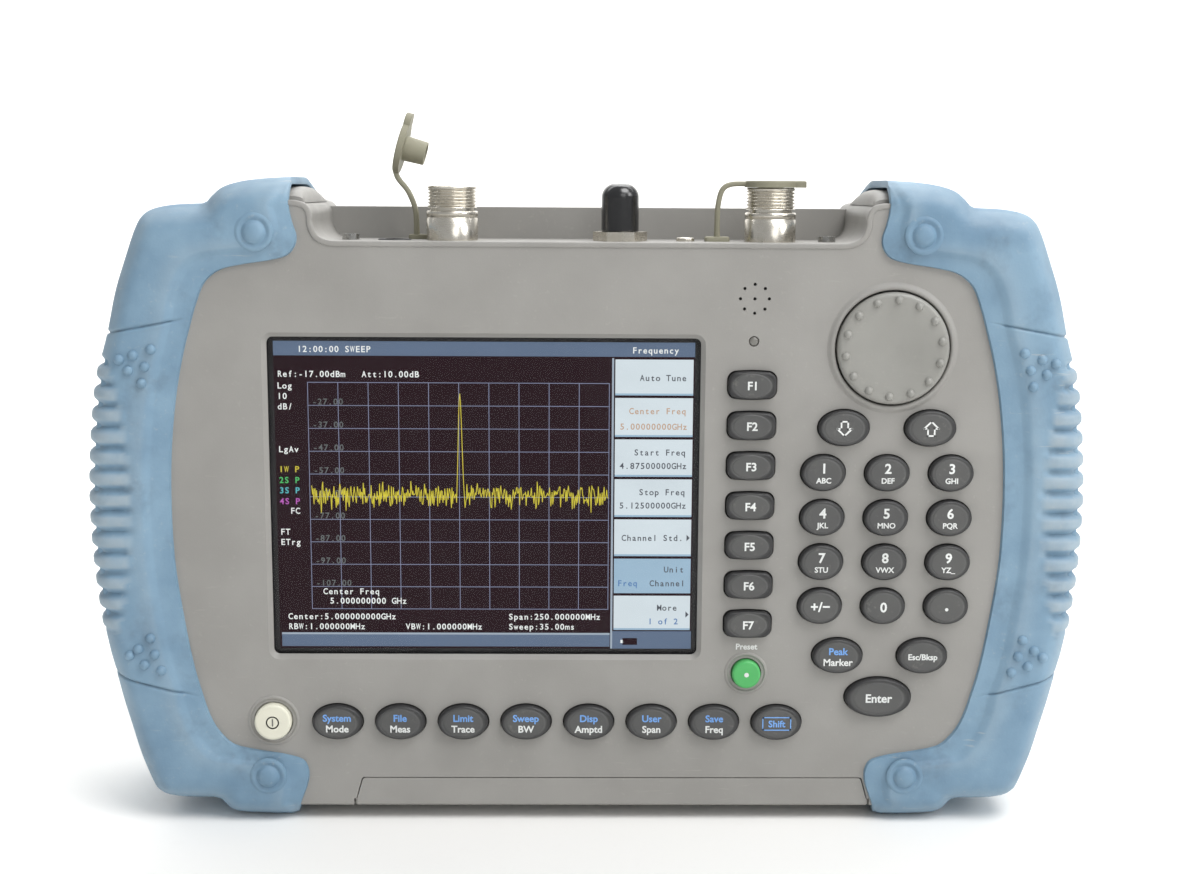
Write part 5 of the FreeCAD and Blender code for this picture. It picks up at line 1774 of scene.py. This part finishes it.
    def draw_soft_boxes(self) -> None:
        """The seven boxes beside the soft keys and what they say."""
        for index, (top, bottom) in enumerate(zip(self.boxes, self.boxes[1:])):
            self.fill("lit_blue_box" if index == 5 else "lit_box", 519, top + 2, 638, bottom - 2, 1)
            self.fill("lit_blue_box", 519, bottom - 5, 638, bottom - 2, 2)
        for words, column, row, colour in (
                ("Auto Tune", 556, 54, "lit_grey"), ("Center Freq", 540, 105, "lit_orange"),
                ("5.00000000GHz", 526, 129, "lit_orange"), ("Start Freq", 548, 169, "lit_grey"),
                ("4.87500000GHz", 526, 190, "lit_grey"), ("Stop Freq", 556, 231, "lit_grey"),
                ("5.12500000GHz", 526, 252, "lit_grey"), ("Channel Std.", 530, 303, "lit_grey"),
                ("Unit", 596, 353, "lit_grey"), ("Freq", 524, 375, "lit_blue"),
                ("Channel", 574, 375, "lit_grey"), ("More", 586, 414, "lit_grey"),
                ("1 of 2", 572, 436, "lit_blue")):
            self.text(colour, words, column, row)
        self.choose("lit_grey")
        for row in (303, 425):
            tip, up, down = self.at(636, row), self.at(631, row - 5), self.at(631, row + 5)
            self.form.slab([tip, up, down], *self.layer(3))


# ---------------------------------------------------------------- small pieces and the room

@dataclass
class FaceFittings:
    """The sensor's lens, the rings round the two round keys and the printed word, all on the face."""

    toward: tuple[int, int, int] = (0, -1, 0)
    lens_drop: float = 13.3
    lens_seat: float = 1.0
    lens_profile: tuple[Point, ...] = ((1.5, -0.1), (1.5, 0.5), (1.35, 0.75), (1.0, 0.95), (0.5, 1.05),
                                       (0, 1.08))
    ring_gap: float = 0.45
    ring_profile: tuple[Point, ...] = ((0.0, -0.4), (0.0, 0.12), (0.2, 0.3), (0.5, 0.34), (0.85, 0.2),
                                       (1.1, 0.02), (1.1, -0.4))
    word_rise: float = 3.4
    word_size: float = 2.7
    word_thickness: float = 0.04

    def build(self) -> None:
        """Builds all of them."""
        self.face = box_mm("front_housing")[0].y
        self.build_lens()
        for key in ("power_key", "preset_key"):
            self.build_ring(key)
        self.print_word()

    def build_lens(self) -> bpy.types.Object:
        """The domed lens of the light sensor, in its seat below the speaker.

        Returns:
            The lens.
        """
        low, high = box_mm("speaker")
        up = (low.z + high.z) / 2 - self.lens_drop
        centre = Vector(((low.x + high.x) / 2, self.face + self.lens_seat, up))
        form = Form()
        form.dome(self.lens_profile, centre, Vector(self.toward), 40)
        return form.piece("light_sensor_lens", ["lens"])

    def build_ring(self, key: str) -> bpy.types.Object:
        """The low moulded ring round a round key.

        Args:
            key: The key.

        Returns:
            The ring.
        """
        low, high = box_mm(key)
        inner = (high.x - low.x) / 2 + self.ring_gap
        centre = Vector(((low.x + high.x) / 2, self.face, (low.z + high.z) / 2))
        form = Form()
        form.turned([(inner + out, rise) for out, rise in self.ring_profile], centre, Vector(self.toward), 72)
        return form.piece(f"{key}_ring", ["housing"], slot="housing", sharp=60.0)

    def print_word(self) -> bpy.types.Object:
        """The printed word above the preset key.

        Returns:
            The word.
        """
        low, high = box_mm("preset_key")
        form = Form()
        across, up = (low.x + high.x) / 2, high.z + self.word_rise
        GLYPHS.write(form, "Preset", across, up, self.word_size, self.face - self.word_thickness)
        return form.piece("preset_label", ["ink"])


def build_straps() -> list[bpy.types.Object]:
    """The straps of both dust caps.

    Returns:
        The two straps.
    """
    plate_drop, lap = 1.05, 0.7
    block, loose = 41.6, -57.0
    trench = box_mm("connector_cap_straps")[0].z
    cap_low, cap_high = box_mm("rf_input_cap")
    loose_low, loose_high = box_mm("rf_output_cap")
    connector_low, connector_high = box_mm("rf_input_connector")
    depth = (connector_low.y + connector_high.y) / 2
    loose_depth = (loose_low.y + loose_high.y) / 2
    plate, end = cap_high.z - plate_drop, cap_low.x + lap
    fitted = Strap("rf_input_strap", "rf_input_cap",
                   ((block, trench + 0.6), (block, trench + 6), (block + 0.2, trench + 11.5),
                    (block + 1.5, plate - 2.0), (block + 4.4, plate - 0.2), (end, plate)),
                   depth, (block, trench), ((block, trench + 3), (end, plate)))
    free = Strap("rf_output_strap", "rf_output_cap",
                 ((loose, trench + 0.6), (loose, trench + 5), (loose - 0.4, trench + 10),
                  (loose - 2.6, trench + 15.5), (loose - 5.8, trench + 19.6), (loose - 6.9, trench + 22.6)),
                 loose_depth, (loose + 1.5, trench), ((loose, trench + 2), (loose - 6.8, trench + 21.3)))
    return [fitted.build(), free.build()]


@dataclass(frozen=True)
class Lamp:
    """A soft lamp that hangs at a place in metres and shines at another."""

    name: str
    place: Triple
    size: float
    power: float
    target: Triple = (0.0, 0.0, 0.1)
    tall: float | None = None

    def hang(self) -> None:
        """Hangs the lamp, round or, if it has a height, a rectangle."""
        data = bpy.data.lights.new(self.name, "AREA")
        data.shape = "RECTANGLE" if self.tall else "DISK"
        data.size = self.size
        if self.tall:
            data.size_y = self.tall
        data.energy = self.power
        lamp = bpy.data.objects.new(self.name, data)
        lamp.location = self.place
        way = Vector(self.target) - Vector(self.place)
        lamp.rotation_euler = way.to_track_quat("-Z", "Y").to_euler()
        bpy.context.scene.collection.objects.link(lamp)


@dataclass
class Studio:
    """The pale floor, the soft lights and the camera."""

    lamps: tuple[Lamp, ...] = (
        Lamp("overhead", (0.45, -0.45, 1.15), 0.8, 10.5),
        Lamp("front", (0.6, -1.7, 0.9), 1.0, 4.2),
        Lamp("right", (1.4, -0.7, 0.9), 0.7, 6.4),
        Lamp("behind", (0.1, 0.9, 1.4), 1.2, 8.0),
        Lamp("backdrop_wash", (0.0, 0.75, 1.9), 4.0, 70.0, target=(0.0, 2.4, 0.7), tall=1.2),
    )
    surround: Colour = (0.96, 0.98, 1.0)
    surround_strength: float = 0.44
    floor_drop: float = 0.0002
    backdrop_top: float = 4.0
    floor_half: float = 2.6
    sweep_radius: float = 0.9
    sweep_depth: float = 1.5
    lens: float = 48.0
    camera_place: Triple = (-3.3, -528.5, 204.1)
    pitch: float = 0.1546
    yaw: float = 0.0137
    roll: float = 0.0061

    def build(self) -> None:
        """Builds all of it."""
        self.lay_floor()
        self.hang_lights()
        self.place_camera()

    def lay_floor(self) -> None:
        """A floor that sweeps up into a backdrop."""
        profile = [(-3.0, 0.0), (-1.0, 0.0), (0.0, 0.0), (self.sweep_depth * 0.6, 0.0)]
        profile += [(self.sweep_depth + self.sweep_radius * math.sin(a), self.sweep_radius * (1 - math.cos(a)))
                    for a in (math.pi / 2 * k / 16 for k in range(17))]
        profile.append((self.sweep_depth + self.sweep_radius, self.backdrop_top))
        rows = [[Vector((x, y, z - self.floor_drop)) / MM for y, z in profile]
                for x in (-self.floor_half, 0.0, self.floor_half)]
        form = Form()
        form.rows(rows)
        form.piece("floor", ["floor"], body=None)

    def hang_lights(self) -> None:
        """The lamps, and a pale surround."""
        for lamp in self.lamps:
            lamp.hang()
        world = bpy.data.worlds.new("surround")
        world.use_nodes = True
        inputs = world.node_tree.nodes["Background"].inputs
        inputs["Color"].default_value = (*self.surround, 1.0)
        inputs["Strength"].default_value = self.surround_strength
        bpy.context.scene.world = world
        bpy.context.scene.view_settings.view_transform = "Standard"

    def place_camera(self) -> None:
        """The camera, a little above the face and looking slightly down."""
        ahead = Vector((math.sin(self.yaw) * math.cos(self.pitch), math.cos(self.yaw) * math.cos(self.pitch),
                        -math.sin(self.pitch)))
        right = Vector((math.cos(self.yaw), -math.sin(self.yaw), 0))
        up = right.cross(ahead)
        level = right * math.cos(self.roll) + up * math.sin(self.roll)
        upright = up * math.cos(self.roll) - right * math.sin(self.roll)
        turn = Matrix((level, upright, -ahead)).transposed().to_4x4()
        data = bpy.data.cameras.new("camera")
        data.lens = self.lens
        data.sensor_width = 36.0
        camera = bpy.data.objects.new("camera", data)
        bpy.context.scene.collection.objects.link(camera)
        camera.matrix_world = Matrix.Translation(Vector(self.camera_place) * MM) @ turn
        bpy.context.scene.camera = camera


def main() -> None:
    """Builds every piece in order."""
    logging.basicConfig(level=logging.INFO, format="%(message)s")
    WARDROBE.dress_frame()
    Studio().build()
    for side in Side:
        Bumper(side).build()
    for node in ("rf_input_connector", "rf_output_connector"):
        RfConnector(node).build()
    build_straps()
    TuningKnob().build()
    TopTrim().build()
    for legend in legends():
        legend.build()
    Screen().build()
    FaceFittings().build()
    bpy.context.view_layer.update()


if __name__ == "__main__":
    main()
